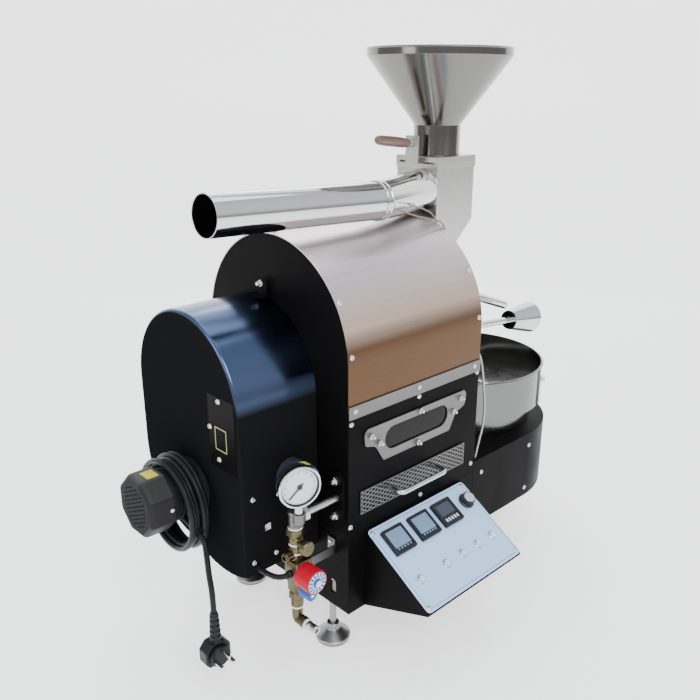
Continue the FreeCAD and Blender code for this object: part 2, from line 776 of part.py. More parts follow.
def drawer():
    """Perforated front with a bent rod pull, and the crumb tray behind it."""
    body = new_body("drawer_face")
    profile = sketch_on(body, "XZ_Plane", DRAWER_FACE)
    rectangle(profile, S.drawer_left, S.drawer_low, S.drawer_right, S.drawer_high)
    pad(body, profile, S.drawer_t)
    side = 4.5
    pitch = 11.5
    columns = int((num(S.drawer_right) - num(S.drawer_left) - 12.0) // pitch)
    punch = perforation(columns, 3, pitch, side)
    punch.rotate(Vector(0, 0, 0), Vector(1, 0, 0), 90)
    punch.translate(vec(S.drawer_left + 9.0, -DRAWER_FACE, S.drawer_low + 6.0))
    face = -DRAWER_FACE - S.drawer_t
    leg_end = S.pull_rear + S.pull_span
    pull = tube([
        (num(S.pull_rear), num(face), num(S.pull_z)),
        (num(S.pull_rear), num(face - S.pull_out), num(S.pull_z)),
        (num(leg_end), num(face - S.pull_out), num(S.pull_z)),
        (num(leg_end), num(face), num(S.pull_z)),
    ], S.pull_r, 0.3)
    sub_part("drawer_front", fuse(cut(body, shaped(punch)), shaped(pull)))
    left = S.drawer_left + S.drawer_lap + 1.5
    right = S.drawer_right - S.drawer_lap - 1.5
    low = S.drawer_low + S.drawer_lap + S.gap
    high = S.drawer_high - S.drawer_lap - 0.5
    wall = 1.5
    outer = box(left, -DRAWER_FACE, low, right - left, S.drawer_deep, high - low)
    inner = box(left + wall, -DRAWER_FACE + wall, low + wall,
                right - left - 2 * wall, S.drawer_deep - 2 * wall, high - low)
    sub_part("drawer_tray", cut(outer, inner))


# ---------------------------------------------------------------- drum and drive

def drum():
    """Rolled shell with a rear wall, front spokes and six twisted mixing vanes."""
    body = new_body("drum_shell")
    profile = sketch_on(body, "XZ_Plane")
    rear = S.drum_rear
    front = rear + S.drum_length
    inner = S.drum_r - S.drum_t
    hub_r = S.shaft_r + 10.0
    outline(profile, [
        (rear, S.shaft_r + S.fit),
        (rear + 34.0, S.shaft_r + S.fit),
        (rear + 34.0, hub_r),
        (rear + S.drum_t, hub_r),
        (rear + S.drum_t, inner),
        (front - S.drum_t, inner),
        (front - S.drum_t, S.drum_r - 10.0),
        (front, S.drum_r - 10.0),
        (front, S.drum_r),
        (rear, S.drum_r),
    ])
    revolve(body, profile, "H_Axis")
    doc.recompute()
    axis = Vector(1, 0, 0)
    vane_r = num(inner) + 0.5
    start = num(rear) + 0.5
    vane_length = num(S.drum_length) - 22.0
    sections = []
    for step in range(4):
        share = step / 3
        x = start + vane_length * share
        low = Vector(x, -num(S.vane_t) / 2, vane_r - num(S.vane_tall))
        high = Vector(x, num(S.vane_t) / 2, vane_r)
        ring = Part.makePolygon([
            low, Vector(x, high.y, low.z), high, Vector(x, low.y, high.z), low])
        ring.rotate(Vector(0, 0, 0), axis, num(S.vane_twist) * share)
        sections.append(ring)
    vane = Part.makeLoft(sections, True)
    spoke_x = num(front) - 14.0
    spoke_low = num(S.shaft_r) + 3.0
    spoke = Part.makeBox(4.0, 12.0, num(inner) + 0.5 - spoke_low, Vector(spoke_x, -6.0, spoke_low))
    hub_out = Part.makeCylinder(num(hub_r), 22.0, Vector(spoke_x - 8.0, 0, 0), axis)
    hub_in = Part.makeCylinder(num(S.shaft_r + S.fit), 22.0, Vector(spoke_x - 8.0, 0, 0), axis)
    extras = [hub_out]
    for turn in range(6):
        copy = vane.copy()
        copy.rotate(Vector(0, 0, 0), axis, 60 * turn)
        extras.append(copy)
    for turn in range(3):
        copy = spoke.copy()
        copy.rotate(Vector(0, 0, 0), axis, 120 * turn + 40)
        extras.append(copy)
    whole = body.Shape.fuse(extras).cut(hub_in)
    sub_part("drum", shaped(whole), Placement(vec(0, 0, S.drum_z), Rotation()))


def drum_shaft():
    rear = S.chain_plane - 12.0
    front = S.body_length + S.bearing_t - 1.0
    body = turned("drum_shaft", [
        (rear, 0.0),
        (front, 0.0),
        (front, S.shaft_r - 1.0),
        (front - 1.0, S.shaft_r),
        (rear + 1.0, S.shaft_r),
        (rear, S.shaft_r - 1.0),
    ], "H_Axis")
    sub_part("drum_shaft", body, Placement(vec(0, 0, S.drum_z), Rotation()))


def drum_bearings():
    """Two flanged housings, outside the rear plate and outside the front plate."""
    def housing(face, out):
        flange_r = S.bearing_hole + 11.0
        spigot_r = S.bearing_hole - S.fit
        flange_t = S.bearing_t / 2
        body = turned("bearing", [
            (face - out * S.plate_t, S.shaft_r + S.fit),
            (face + out * S.bearing_t, S.shaft_r + S.fit),
            (face + out * S.bearing_t, S.bearing_hole + 3.0),
            (face + out * flange_t, S.bearing_hole + 5.0),
            (face + out * flange_t, flange_r),
            (face, flange_r),
            (face, spigot_r),
            (face - out * S.plate_t, spigot_r),
        ], "H_Axis")
        return body
    pair = group(housing(Size(0.0, "0"), -1), housing(S.body_length, 1))
    sub_part("drum_bearings", pair, Placement(vec(0, 0, S.drum_z), Rotation()))


def burner():
    """Gas box on the rear plate and three burner tubes under the drum."""
    box_t = 18.0
    box_half = 11.0
    feed_y = S.gas_y - 8.0
    rear = S.plate_t
    rail = box(rear, feed_y, S.burner_z - box_half, box_t, 80.0 - feed_y, 2 * box_half)
    leg = box(rear, feed_y, S.gas_z - 8.0, box_t, 16.0, S.burner_z - S.gas_z)
    tubes = []
    for y in (-56.0, 0.0, 56.0):
        reach = FRONT_X - rear - box_t
        tubes.append(rod("X", rear + box_t - 1.0, y, S.burner_z, S.burner_r, reach + 1.0))
    sub_part("burner", fuse(rail, leg, *tubes))


def drive_outline(profile, inset):
    """Arched hood: bellied underside, round far corner, straight near wall."""
    near = S.drive_y - S.drive_r + inset
    far = S.drive_y + S.drive_r - inset
    foot_y = S.drive_y
    foot_z = S.drive_turn_z - S.drive_r + inset
    corner_z = S.drive_corner_z + inset
    chord_y = foot_y - near
    chord_z = foot_z - corner_z
    chord = math.hypot(num(chord_y), num(chord_z))
    rise = math.sqrt(num(S.belly_r) ** 2 - chord ** 2 / 4)
    centre_y = (foot_y + near) / 2 - chord_z * (rise / chord)
    centre_z = (foot_z + corner_z) / 2 + chord_y * (rise / chord)
    outline(profile, [
        (near, corner_z, centre_y, centre_z, 1),
        (foot_y, foot_z, S.drive_y, S.drive_turn_z, 1),
        (far, S.drive_turn_z),
        (far, S.drive_z, S.drive_y, S.drive_z, 1),
        (near, S.drive_z),
    ])


def drive_cover():
    """Deep drawn hood over the chain, open towards the rear plate."""
    body = new_body("drive_cover")
    profile = sketch_on(body, "YZ_Plane", COVER_FACE)
    drive_outline(profile, 0.0)
    pad(body, profile, S.drive_deep)
    cavity = sketch_on(body, "YZ_Plane")
    drive_outline(cavity, S.sheet_t)
    pocket(body, cavity, (S.drive_deep - S.sheet_t) * 2)
    holes = sketch_on(body, "YZ_Plane", COVER_FACE)
    circle(holes, S.motor_y, S.motor_z, S.boss_r + S.gap)
    pocket(body, holes, S.sheet_t * 4)
    exit_hole = sketch_on(body, "XZ_Plane", S.drive_r - S.drive_y)
    circle(exit_hole, COVER_FACE + 24.0, S.drive_corner_z + 12.0, S.wire_r + S.gap)
    pocket(body, exit_hole, S.sheet_t * 4)
    sub_part("drive_cover", body)


def gear_motor():
    """Can with cooling fins, end bells and a gearbox boss that enters the drive cover."""
    body = new_body("gear_motor")
    profile = sketch_on(body, "XZ_Plane")
    can = COVER_FACE - S.motor_length
    corners = [(COVER_FACE + S.boss_deep, S.spindle_r + S.fit)]
    corners += [
        (COVER_FACE + S.boss_deep, S.boss_r),
        (COVER_FACE, S.boss_r),
        (COVER_FACE, S.motor_r + 3.0),
        (COVER_FACE - 8.0, S.motor_r + 3.0),
        (COVER_FACE - 8.0, S.motor_r),
    ]
    fins = 5
    pitch = (S.motor_length - 20.0) / fins
    for fin in range(fins):
        x = COVER_FACE - 10.0 - fin * pitch
        corners += [
            (x, S.motor_r),
            (x, S.motor_r - 3.0),
            (x - pitch * 0.55, S.motor_r - 3.0),
            (x - pitch * 0.55, S.motor_r),
        ]
    corners += [(can, S.motor_r), (can, 0.0), (COVER_FACE - 30.0, 0.0),
                (COVER_FACE - 30.0, S.spindle_r + S.fit)]
    outline(profile, corners)
    revolve(body, profile, "H_Axis")
    sub_part("gear_motor", body, Placement(vec(0, S.motor_y, S.motor_z), Rotation()))


def motor_fan_cap():
    """Eight-sided fan cap with a grille of square holes in its end."""
    body = new_body("motor_fan_cap")
    rear = COVER_FACE - S.motor_length - S.cap_length
    profile = sketch_on(body, "YZ_Plane", rear)
    radius = num(S.cap_flats) / 2 / math.cos(math.pi / 8)
    outline(profile, [
        (radius * math.cos(math.pi / 8 + turn * math.pi / 4),
         radius * math.sin(math.pi / 8 + turn * math.pi / 4)) for turn in range(8)])
    block = pad(body, profile, S.cap_length)
    doc.recompute()
    rim = []
    for index, edge in enumerate(block.Shape.Edges, 1):
        if edge.BoundBox.XMax < num(rear) + 0.01:
            rim.append("Edge%d" % index)
    rounded = body.newObject("PartDesign::Chamfer", "Rounded")
    rounded.Base = (block, rim)
    rounded.Size = 6.0
    body.Tip = rounded
    hollow = sketch_on(body, "YZ_Plane", rear + S.cap_length)
    circle(hollow, 0.0, 0.0, S.cap_flats / 2 - 4.0)
    pocket(body, hollow, (S.cap_length - 4.0) * 2)
    side = 5.0
    pitch = 9.0
    punch = perforation(7, 7, pitch, side, 3.3)
    punch.rotate(Vector(0, 0, 0), Vector(1, 1, 1), 120)
    half = 3 * pitch + side / 2
    punch.translate(Vector(num(rear), -half, -half))
    sub_part("motor_fan_cap", cut(body, shaped(punch)),
             Placement(vec(0, S.motor_y, S.motor_z), Rotation()))


def sprocket(name, teeth, hub_r, bore):
    """Toothed disc: a round blank with one notch pocketed and repeated around it."""
    count = int(round(num(teeth)))
    pitch_r = S.chain_pitch / (2 * sine(180.0 / teeth))
    tip_r = pitch_r + S.roller_r * 0.7
    body = new_body(name)
    disc = sketch_on(body, "YZ_Plane", S.chain_plane - S.sprocket_t / 2)
    circle(disc, 0.0, 0.0, tip_r)
    pad(body, disc, S.sprocket_t)
    notch = sketch_on(body, "YZ_Plane", S.chain_plane)
    half = S.roller_r * 0.75
    outline(notch, [
        (-half, pitch_r - S.roller_r * TOOTH_ROOT),
        (half, pitch_r - S.roller_r * TOOTH_ROOT),
        (half * 1.7, tip_r + 1.0),
        (half * -1.7, tip_r + 1.0),
    ])
    cutter = pocket(body, notch, S.sprocket_t * 3)
    around(body, cutter, notch_axis(body), count)
    hub = sketch_on(body, "YZ_Plane", S.chain_plane - S.sprocket_t / 2)
    circle(hub, 0.0, 0.0, hub_r)
    pad(body, hub, S.sprocket_t + 8.0)
    hole = sketch_on(body, "YZ_Plane", S.chain_plane)
    circle(hole, 0.0, 0.0, bore)
    if num(bore) > 0.5:
        pocket(body, hole, 60.0)
    return body, tip_r


def notch_axis(body):
    return body.Group[0]


def sprockets_and_chain():
    drum_gear, drum_tip = sprocket("drum_sprocket", S.drum_teeth, S.shaft_r + 8.0,
                                   S.shaft_r + S.fit)
    sub_part("drum_sprocket", drum_gear, Placement(vec(0, 0, S.drum_z), Rotation()))
    motor_gear, motor_tip = sprocket("motor_pinion", S.motor_teeth, S.spindle_r + 4.0,
                                     S.spindle_r - 0.5)
    spindle_rear = COVER_FACE - 29.0
    spindle = rod("X", spindle_rear, 0.0, 0.0, S.spindle_r,
                  S.chain_plane + 12.0 - spindle_rear)
    sub_part("motor_sprocket", fuse(motor_gear, spindle),
             Placement(vec(0, S.motor_y, S.motor_z), Rotation()))
    chain = chain_loop(num(drum_tip) + 0.6, num(motor_tip) + 0.6)
    sub_part("drive_chain", chain)


def chain_loop(big_r, small_r):
    """Chain as a closed run of plates that wraps both sprockets with clearance."""
    top = Vector(0, 0, num(S.drum_z))
    low = Vector(0, num(S.motor_y), num(S.motor_z))
    between = low - top
    distance = between.Length
    heading = math.atan2(between.z, between.y)
    x = num(S.chain_plane) - 3.2

    def loop(grow):
        big = big_r + grow
        small = small_r + grow
        lean = math.acos((big - small) / distance)
        spots = []
        for centre, radius in ((top, big), (low, small)):
            for side in (1, -1):
                angle = heading + side * lean
                spots.append(centre + Vector(0, math.cos(angle), math.sin(angle)) * radius)
        far_top = top - Vector(0, math.cos(heading), math.sin(heading)) * big
        far_low = low + Vector(0, math.cos(heading), math.sin(heading)) * small
        wire = Part.Wire(Part.__sortEdges__([
            Part.Arc(spots[0], far_top, spots[1]).toShape(),
            Part.LineSegment(spots[1], spots[3]).toShape(),
            Part.Arc(spots[3], far_low, spots[2]).toShape(),
            Part.LineSegment(spots[2], spots[0]).toShape(),
        ]))
        face = Part.Face(wire)
        face.translate(Vector(x, 0, 0))
        return face.extrude(Vector(6.4, 0, 0))
    return shaped(loop(5.0).cut(loop(0.0)))


def side_motor():
    """Small round motor on the near wall of the drive cover."""
    wall = S.drive_r - S.drive_y
    body = turned("side_motor", [
        (0.0, wall),
        (S.can_r - 4.0, wall),
        (S.can_r - 4.0, wall + 4.0),
        (S.can_r, wall + 4.0),
        (S.can_r, wall + 17.0),
        (S.can_r + 1.2, wall + 17.0),
        (S.can_r + 1.2, wall + 20.0),
        (S.can_r, wall + 20.0),
        (S.can_r, wall + S.can_length - 3.0),
        (S.can_r - 3.0, wall + S.can_length),
        (0.0, wall + S.can_length),
    ], role="XY_Plane")
    sub_part("side_motor", body,
             Placement(vec(S.can_x, 0, S.can_z), Rotation(Vector(0, 0, 1), 180)))


# ---------------------------------------------------------------- gas train

def gauge():
    """Round pressure gauge, turned a little to the drive end, and its needle at zero."""
    front = S.gauge_t
    dial = front - 5.0
    body = turned("gauge_case", [
        (0.0, 0.0),
        (S.gauge_r - 5.0, 0.0),
        (S.gauge_r - 3.0, 3.0),
        (S.gauge_r - 3.0, front - 9.0),
        (S.gauge_r, front - 9.0),
        (S.gauge_r, front - 1.5),
        (S.gauge_r - 1.5, front),
        (S.gauge_r - 4.0, front),
        (S.gauge_r - 4.0, dial),
        (3.0, dial),
        (3.0, dial + 1.0),
        (0.0, dial + 1.0),
    ], role="XY_Plane")
    turn = Rotation(Vector(0, 0, 1), 180 - num(S.gauge_turn))
    centre = vec(S.gas_x, S.gas_y, S.gauge_z)
    body.Placement = Placement(centre, turn)
    stem_low = S.gas_z + 14.0
    stem = rod("Z", S.gas_x, S.gas_y - 9.0, stem_low - 1.0, 7.0,
               S.gauge_z - S.gauge_r - stem_low + 6.0)
    sub_part("gauge_case", fuse(body, stem))
    level = front - 3.6
    hub = rod("Y", 0.0, level, 0.0, 4.0, 1.6)
    hand = box(-0.9, level + 0.3, -8.0, 1.8, 1.0, 32.0)
    zero = Rotation(Vector(0, 1, 0), 135)
    sub_part("gauge_needle", fuse(hub, hand), Placement(centre, turn * zero))


def gas_manifold():
    """Flange on the rear plate, gas tube, tee under the gauge, and the valve's bracket."""
    flange = new_body("gas_flange")
    profile = sketch_on(flange, "YZ_Plane", -6.0)
    low = S.gas_z - 30.0
    high = S.gas_z + 30.0
    wide = 15.0
    outline(profile, [
        (S.gas_y + wide, low),
        (S.gas_y + wide, high, S.gas_y, high, 1),
        (S.gas_y - wide, high),
        (S.gas_y - wide, low, S.gas_y, low, 1),
    ])
    pad(flange, profile, 6.0)
    tee_half = 13.0
    pipe = rod("X", S.gas_x, S.gas_y, S.gas_z, S.gas_tube_r, -S.gas_x - 1.0)
    union = prism("X", S.gas_x + tee_half - 6.0, S.gas_y, S.gas_z, 6, 12.5, 18.0)
    tee = rod("Z", S.gas_x, S.gas_y, S.gas_z - 16.0, 11.0, 29.0)
    nose = rod("Z", S.gas_x, S.gas_y - 9.0, S.gas_z - 8.0, 9.5, 20.0)
    strap_y = S.gas_y + 9.0
    strap_z = S.valve_z - 18.0
    arm = box(S.gas_x + VALVE_HALF, strap_y, strap_z, -S.gas_x - VALVE_HALF, 3.0, 16.0)
    foot = box(-3.0, strap_y, strap_z, 3.0, 17.0, 28.0)
    sub_part("gas_manifold", group(fuse(flange, pipe, union, tee, nose), fuse(arm, foot)))


VALVE_HALF = 18.0
VALVE_LOW = S.valve_z - 40.0


def brass_fittings():
    """Hand valve with its round handle, the nipple under the solenoid, an elbow and a barb."""
    top = S.gas_z - 16.0
    valve = prism("Z", S.gas_x, S.gas_y, top - 15.0, 6, 15.0, 15.0)
    block_top = S.valve_z + 21.0
    body = rod("Z", S.gas_x, S.gas_y, block_top, 12.0, top - 14.0 - block_top)
    port = rod("-X", S.gas_x, S.gas_y, S.valve_z + 30.0, 8.0, 24.0)
    stem_z = S.valve_z + 50.0
    stem = rod("-Y", S.gas_x, S.gas_y, stem_z, 6.0, 24.0)
    handle = rod("-Y", S.gas_x, S.gas_y - 22.0, stem_z, 12.4, 10.0)
    neck = prism("Z", S.gas_x, S.gas_y, VALVE_LOW - 12.0, 6, 13.5, 12.0)
    elbow_z = VALVE_LOW - 51.0
    elbow = rod("Z", S.gas_x, S.gas_y, elbow_z - 9.5, 9.5, VALVE_LOW - 11.0 - elbow_z + 9.5)
    nose = rod("-Y", S.gas_x, S.gas_y, elbow_z, 8.6, 24.0)
    barb = [cone("-Y", S.gas_x, S.gas_y - 23.0 - step * 8.0, elbow_z, 7.6, 6.0, 8.2)
            for step in range(3)]
    sub_part("brass_fittings", group(fuse(valve, body, port, stem, handle),
                                     fuse(neck, elbow, nose, *barb)))


def solenoid_valve():
    """Coil with its axis towards the near side, on a valve body with a smaller pilot below."""
    half = VALVE_HALF
    block = box(S.gas_x - half, S.gas_y - half, S.valve_z - 21.0, 2 * half, 2 * half, 42.0)
    lower = box(S.gas_x - 12.0, S.gas_y - half, VALVE_LOW, 24.0, 2 * half, 20.0)
    coil = rod("-Y", S.gas_x, S.gas_y - half + 1.0, S.valve_z, S.valve_r, S.valve_length)
    nut = prism("-Y", S.gas_x, S.gas_y - half - S.valve_length + 2.0, S.valve_z, 6, 6.5, 5.0)
    pilot = rod("-Y", S.gas_x, S.gas_y - half + 1.0, S.valve_z - 29.5, 10.0, 22.0)
    sub_part("solenoid_valve", fuse(block, lower, coil, nut, pilot))


def solenoid_cable():
    wall = num(S.drive_y - S.drive_r)
    x = num(COVER_FACE) + 24.0
    z = num(S.drive_corner_z) + 12.0
    gas_x = num(S.gas_x)
    gas_y = num(S.gas_y)
    shape = tube([
        (x, wall + 1.0, z),
        (x, wall - 22.0, z - 1.0),
        (x + 6.0, gas_y + 4.0, z + 1.0),
        (gas_x - VALVE_HALF - 1.2, gas_y + 1.0, num(S.valve_z) - 4.0),
    ], S.wire_r)
    sub_part("solenoid_cable", shaped(shape))


# ---------------------------------------------------------------- beans in

def chute():
    """Folded chute that leads from the hopper through the front plate into the drum."""
    body = new_body("chute")
    profile = sketch_on(body, "XZ_Plane")
    front = S.chute_rear + S.chute_deep
    outline(profile, [
        (S.body_length, S.chute_foot),
        (front, S.chute_knee),
        (front, S.chute_top),
        (S.chute_rear, S.chute_top),
        (S.chute_rear, S.chute_knee + 15.0),
        (S.body_length, S.chute_knee),
    ])
    block = pad(body, profile, S.chute_half * 2, both=True)
    open_shell(body, block, S.chute_t, Vector(0, 0, 1), Vector(-1, 0, 0))
    hole = sketch_on(body, "YZ_Plane", S.chute_rear)
    circle(hole, S.pipe_front_y, S.pipe_front_z, S.adapter_r - 3.0)
    pocket(body, hole, S.chute_t * 4)
    sub_part("chute", body)


def chute_cap():
    """Gate housing on the chute, slotted for the slide gate."""
    left = S.chute_rear - S.cap_lap
    long = S.chute_deep + 2 * S.cap_lap
    half = S.chute_half + S.cap_lap
    block = box(left, -half, S.chute_top, long, half * 2, S.cap_t)
    hole = rod("Z", GATE_X, 0.0, S.chute_top - 1.0, S.gate_hole, S.cap_t + 2.0)
    slot_half = S.gate_hole + 4.0 + S.gap
    slot = box(left - 1.0, -slot_half, S.gate_z - S.gap,
               GATE_X + slot_half - left + 1.0, slot_half * 2, S.gate_t + 2 * S.gap)
    sub_part("chute_cap", cut(block, hole, slot))


def hopper():
    """Spun funnel: neck, cone and a rolled rim."""
    neck_in = S.neck_r - S.hopper_t
    rim_in = S.hopper_r - S.hopper_t
    body = turned("hopper", [
        (neck_in, CAP_TOP),
        (S.neck_r, CAP_TOP),
        (S.neck_r, NECK_TOP),
        (S.hopper_r, BAND_LOW),
        (S.hopper_r, HOPPER_TOP - 3.0),
        (S.hopper_r + 1.5, HOPPER_TOP - 1.5),
        (S.hopper_r, HOPPER_TOP),
        (rim_in, HOPPER_TOP),
        (rim_in, BAND_LOW + 0.6),
        (neck_in, NECK_TOP + 0.6),
    ])
    sub_part("hopper", body, Placement(vec(GATE_X, 0, 0), Rotation()))


def slide_gate():
    """Flat gate with a narrow tail that turns up to carry the grip."""
    half = S.gate_hole + 4.0
    plate = box(GATE_X - half - 3.0, -half, S.gate_z, 2 * half + 3.0, half * 2, S.gate_t)
    tail_half = 15.0
    tail = box(S.grip_x, -tail_half, S.gate_z, GATE_X - half - S.grip_x, tail_half * 2, S.gate_t)
    upright = box(S.grip_x, -tail_half, S.gate_z, S.gate_t, tail_half * 2,
                  S.grip_z + 14.0 - S.gate_z)
    sub_part("slide_gate", fuse(plate, tail, upright))


def gate_handle():
    """Turned wooden grip with a metal ferrule end."""
    long = S.grip_length
    body = turned("gate_handle", [
        (0.0, 0.0),
        (S.grip_r * 0.72, 0.0),
        (S.grip_r * 0.72, long * 0.10),
        (S.grip_r * 0.80, long * 0.12),
        (S.grip_r * 0.98, long * 0.35),
        (S.grip_r, long * 0.60),
        (S.grip_r * 0.93, long * 0.88),
        (S.grip_r * 0.62, long * 0.97),
        (0.0, long),
    ])
    turn = Rotation(Vector(0, 1, 0), num(S.grip_rise) - 90.0)
    sub_part("gate_handle", body, Placement(vec(S.grip_x - 0.7, 0, S.grip_z), turn))


def exhaust_pipe():
    """Straight outlet tube, a bead at its joint and the oblique adapter that meets the chute."""
    start = vec(S.pipe_rear, S.pipe_rear_y, S.pipe_rear_z)
    joint = vec(S.pipe_joint, S.pipe_joint_y, S.pipe_joint_z)
    mouth = vec(S.chute_rear, S.pipe_front_y, S.pipe_front_z)
    heading = (joint - start).normalize()
    lean = (mouth - joint).normalize()
    long = start.distanceToPoint(joint)
    reach = joint.distanceToPoint(mouth)
    outer_r = num(S.pipe_r)
    wall = num(S.pipe_t)
    mouth_r = num(S.adapter_r)
    overlap = 12.0
    flare = (mouth_r - outer_r - 1.5) / reach
    far_r = mouth_r + flare * 2 * overlap
    outside = Part.makeCylinder(outer_r, long + overlap, start, heading)
    inside = Part.makeCylinder(outer_r - wall, long + 2 * overlap, start - heading, heading)
    bead = Part.makeCylinder(outer_r + 2.2, 16.0, joint - heading * 8.0, heading)
    adapter = Part.makeCone(outer_r + 1.5, far_r, reach + 2 * overlap, joint, lean)
    adapter_in = Part.makeCone(outer_r, far_r - wall, reach + overlap, joint + lean * overlap,
                               lean)
    beyond = Part.makeBox(200.0, 300.0, 300.0, mouth + Vector(0, -150.0, -150.0))
    shape = outside.fuse([bead, adapter]).cut([inside, adapter_in, beyond])
    sub_part("exhaust_pipe", shaped(shape))


# ---------------------------------------------------------------- beans out

def discharge_door():
    """Lift-up door with two knuckles on a cross shaft that reaches out to the lever."""
    lap = S.door_lap
    gap = S.gap
    top = S.door_high + lap
    leaf = box(S.body_length + gap, -S.door_half - lap, S.door_low - lap,
               S.door_t, 2 * (S.door_half + lap), top - S.door_low + lap)
    shaft_start = S.lever_y - 8.0
    shaft = rod("Y", S.door_hinge_x, shaft_start, S.door_hinge_z, S.hinge_r,
                S.door_half + 14.0 - shaft_start)
    pieces = [leaf, shaft]
    for y in (-S.door_half + 4.0, S.door_half - 18.0):
        arm = box(S.body_length + gap, y, top - 10.0, S.door_t, 14.0, 10.0)
        link = box(S.body_length + gap + 1.0, y, top - 3.0, S.door_hinge_x - S.body_length,
                   14.0, S.door_hinge_z - top + 1.0)
        pieces += [arm, link]
    sub_part("discharge_door", fuse(*pieces))


def door_lever():
    """Leaning crank, rod and hollow conical counterweight that keeps the door shut."""
    down = math.radians(num(S.lever_drop))
    heading = Vector(math.cos(down), 0, -math.sin(down))
    out = num(S.lever_out)
    rise = num(S.lever_z - S.door_hinge_z) - out * math.tan(down)
    knee = Vector(out, 0, rise)
    wide = 12.0
    side = Vector(0, wide / 2, 0)
    across = Vector(0, -1, 0)
    hinge_r = num(S.hinge_r)
    rod_r = num(S.lever_rod_r)
    knee_r = rod_r + 1.5
    boss = Part.makeCylinder(hinge_r + 5.0, wide, side, across)
    knuckle = Part.makeCylinder(knee_r, wide, knee + side, across)
    web = Part.makeBox(knee.Length, wide, 2 * rod_r, Vector(0, -wide / 2, -rod_r))
    web.rotate(Vector(0, 0, 0), across, math.degrees(math.atan2(rise, out)))
    reach = num(S.lever_reach) - out / math.cos(down)
    neck = knee + heading * reach
    length = num(S.weight_length)
    small = num(S.weight_neck)
    big = num(S.weight_r)
    arm = Part.makeCylinder(rod_r, reach + 3.0, knee, heading)
    weight = Part.makeCone(small, big, length, neck, heading)
    wall = 3.0
    inner = Part.makeCone(small - wall, big - wall, length - wall, neck + heading * (wall + 0.01),
                          heading)
    bore = Part.makeCylinder(hinge_r + num(S.fit), 3 * wide, side * 3, across)
    shape = boss.fuse([knuckle, web, arm, weight.cut(inner)]).cut(bore)
    sub_part("door_lever", shaped(shape),
             Placement(vec(S.door_hinge_x, S.lever_y, S.door_hinge_z), Rotation()))


def trier():
    """Bean sampler: a half-open scoop tube with a stop collar and a dark grip."""
    scoop_in = -22.0
    grip_start = 128.0
    grip_long = 98.0
    radius = num(S.trier_r)
    axis = Vector(1, 0, 0)
    scoop = Part.makeCylinder(radius, grip_start - scoop_in, Vector(scoop_in, 0, 0), axis)
    hollow = Part.makeCylinder(radius - 1.2, 58.0, Vector(scoop_in - 1.0, 0, 0), axis)
    top = Part.makeBox(50.0, 4 * radius, 2 * radius, Vector(scoop_in - 1.0, -2 * radius, 1.0))
    collar = Part.makeCylinder(radius + 3.0, 6.0, Vector(32.0, 0, 0), axis)
    neck = Part.makeCone(radius, radius + 1.5, 10.0, Vector(grip_start, 0, 0), axis)
    grip = Part.makeCylinder(radius + 1.5, grip_long - 16.0, Vector(grip_start + 10.0, 0, 0), axis)
    end = Part.makeCone(radius + 1.5, radius - 2.0, 6.0,
                        Vector(grip_start + grip_long - 6.0, 0, 0), axis)
    shape = scoop.cut([hollow, top]).fuse([collar, neck, grip, end])
    turn = Rotation(Vector(0, 1, 0), num(S.trier_drop))
    sub_part("trier", shaped(shape), Placement(vec(FRONT_X, S.trier_y, S.trier_z), turn))


def sight_window():
    """Flanged glass on the front plate."""
    body = turned("sight_window", [
        (S.body_length, 0.0),
        (S.body_length + 4.0, 0.0),
        (S.body_length + 4.0, S.sight_r - 2.0),
        (S.body_length + 7.0, S.sight_r),
        (S.body_length + 7.0, S.sight_r + 9.0),
        (S.body_length, S.sight_r + 9.0),
    ], "H_Axis")
    sub_part("sight_window", body, Placement(vec(0, S.sight_y, S.sight_z), Rotation()))


# ---------------------------------------------------------------- cooling

def cooling_base():
    """Round-fronted box under the cooling tray, with air slots on its far side."""
    body = new_body("cooling_base")
    profile = sketch_on(body, "XY_Plane", S.cooler_low)
    half = S.body_half
    outline(profile, [
        (S.body_length, -half),
        (S.cooler_x, -half, S.cooler_x, 0.0, 1),
        (S.cooler_x, half),
        (S.body_length, half),
    ])
    pad(body, profile, S.cooler_high - S.cooler_low)
    cavity = sketch_on(body, "XY_Plane", (S.cooler_high + S.cooler_low) / 2)
    wall = S.sheet_t
    inner = half - wall
    outline(cavity, [
        (S.body_length + wall, -inner),
        (S.cooler_x, -inner, S.cooler_x, 0.0, 1),
        (S.cooler_x, inner),
        (S.body_length + wall, inner),
    ])
    pocket(body, cavity, S.cooler_high - S.cooler_low - 2 * wall)
    mouth = sketch_on(body, "XY_Plane", S.cooler_high)
    circle(mouth, S.tray_x, 0.0, S.plenum_r - 6.0)
    pocket(body, mouth, wall * 4)
    slots = sketch_on(body, "XZ_Plane", -half)
    for index in range(6):
        x = S.fan_x - 45.0 + index * 18.0
        outline(slots, [
            (x + 3.0, S.cooler_low + 40.0),
            (x + 3.0, S.cooler_high - 40.0, x, S.cooler_high - 40.0, 1),
            (x - 3.0, S.cooler_high - 40.0),
            (x - 3.0, S.cooler_low + 40.0, x, S.cooler_low + 40.0, 1),
        ])
    pocket(body, slots, wall * 4)
    sub_part("cooling_base", body)


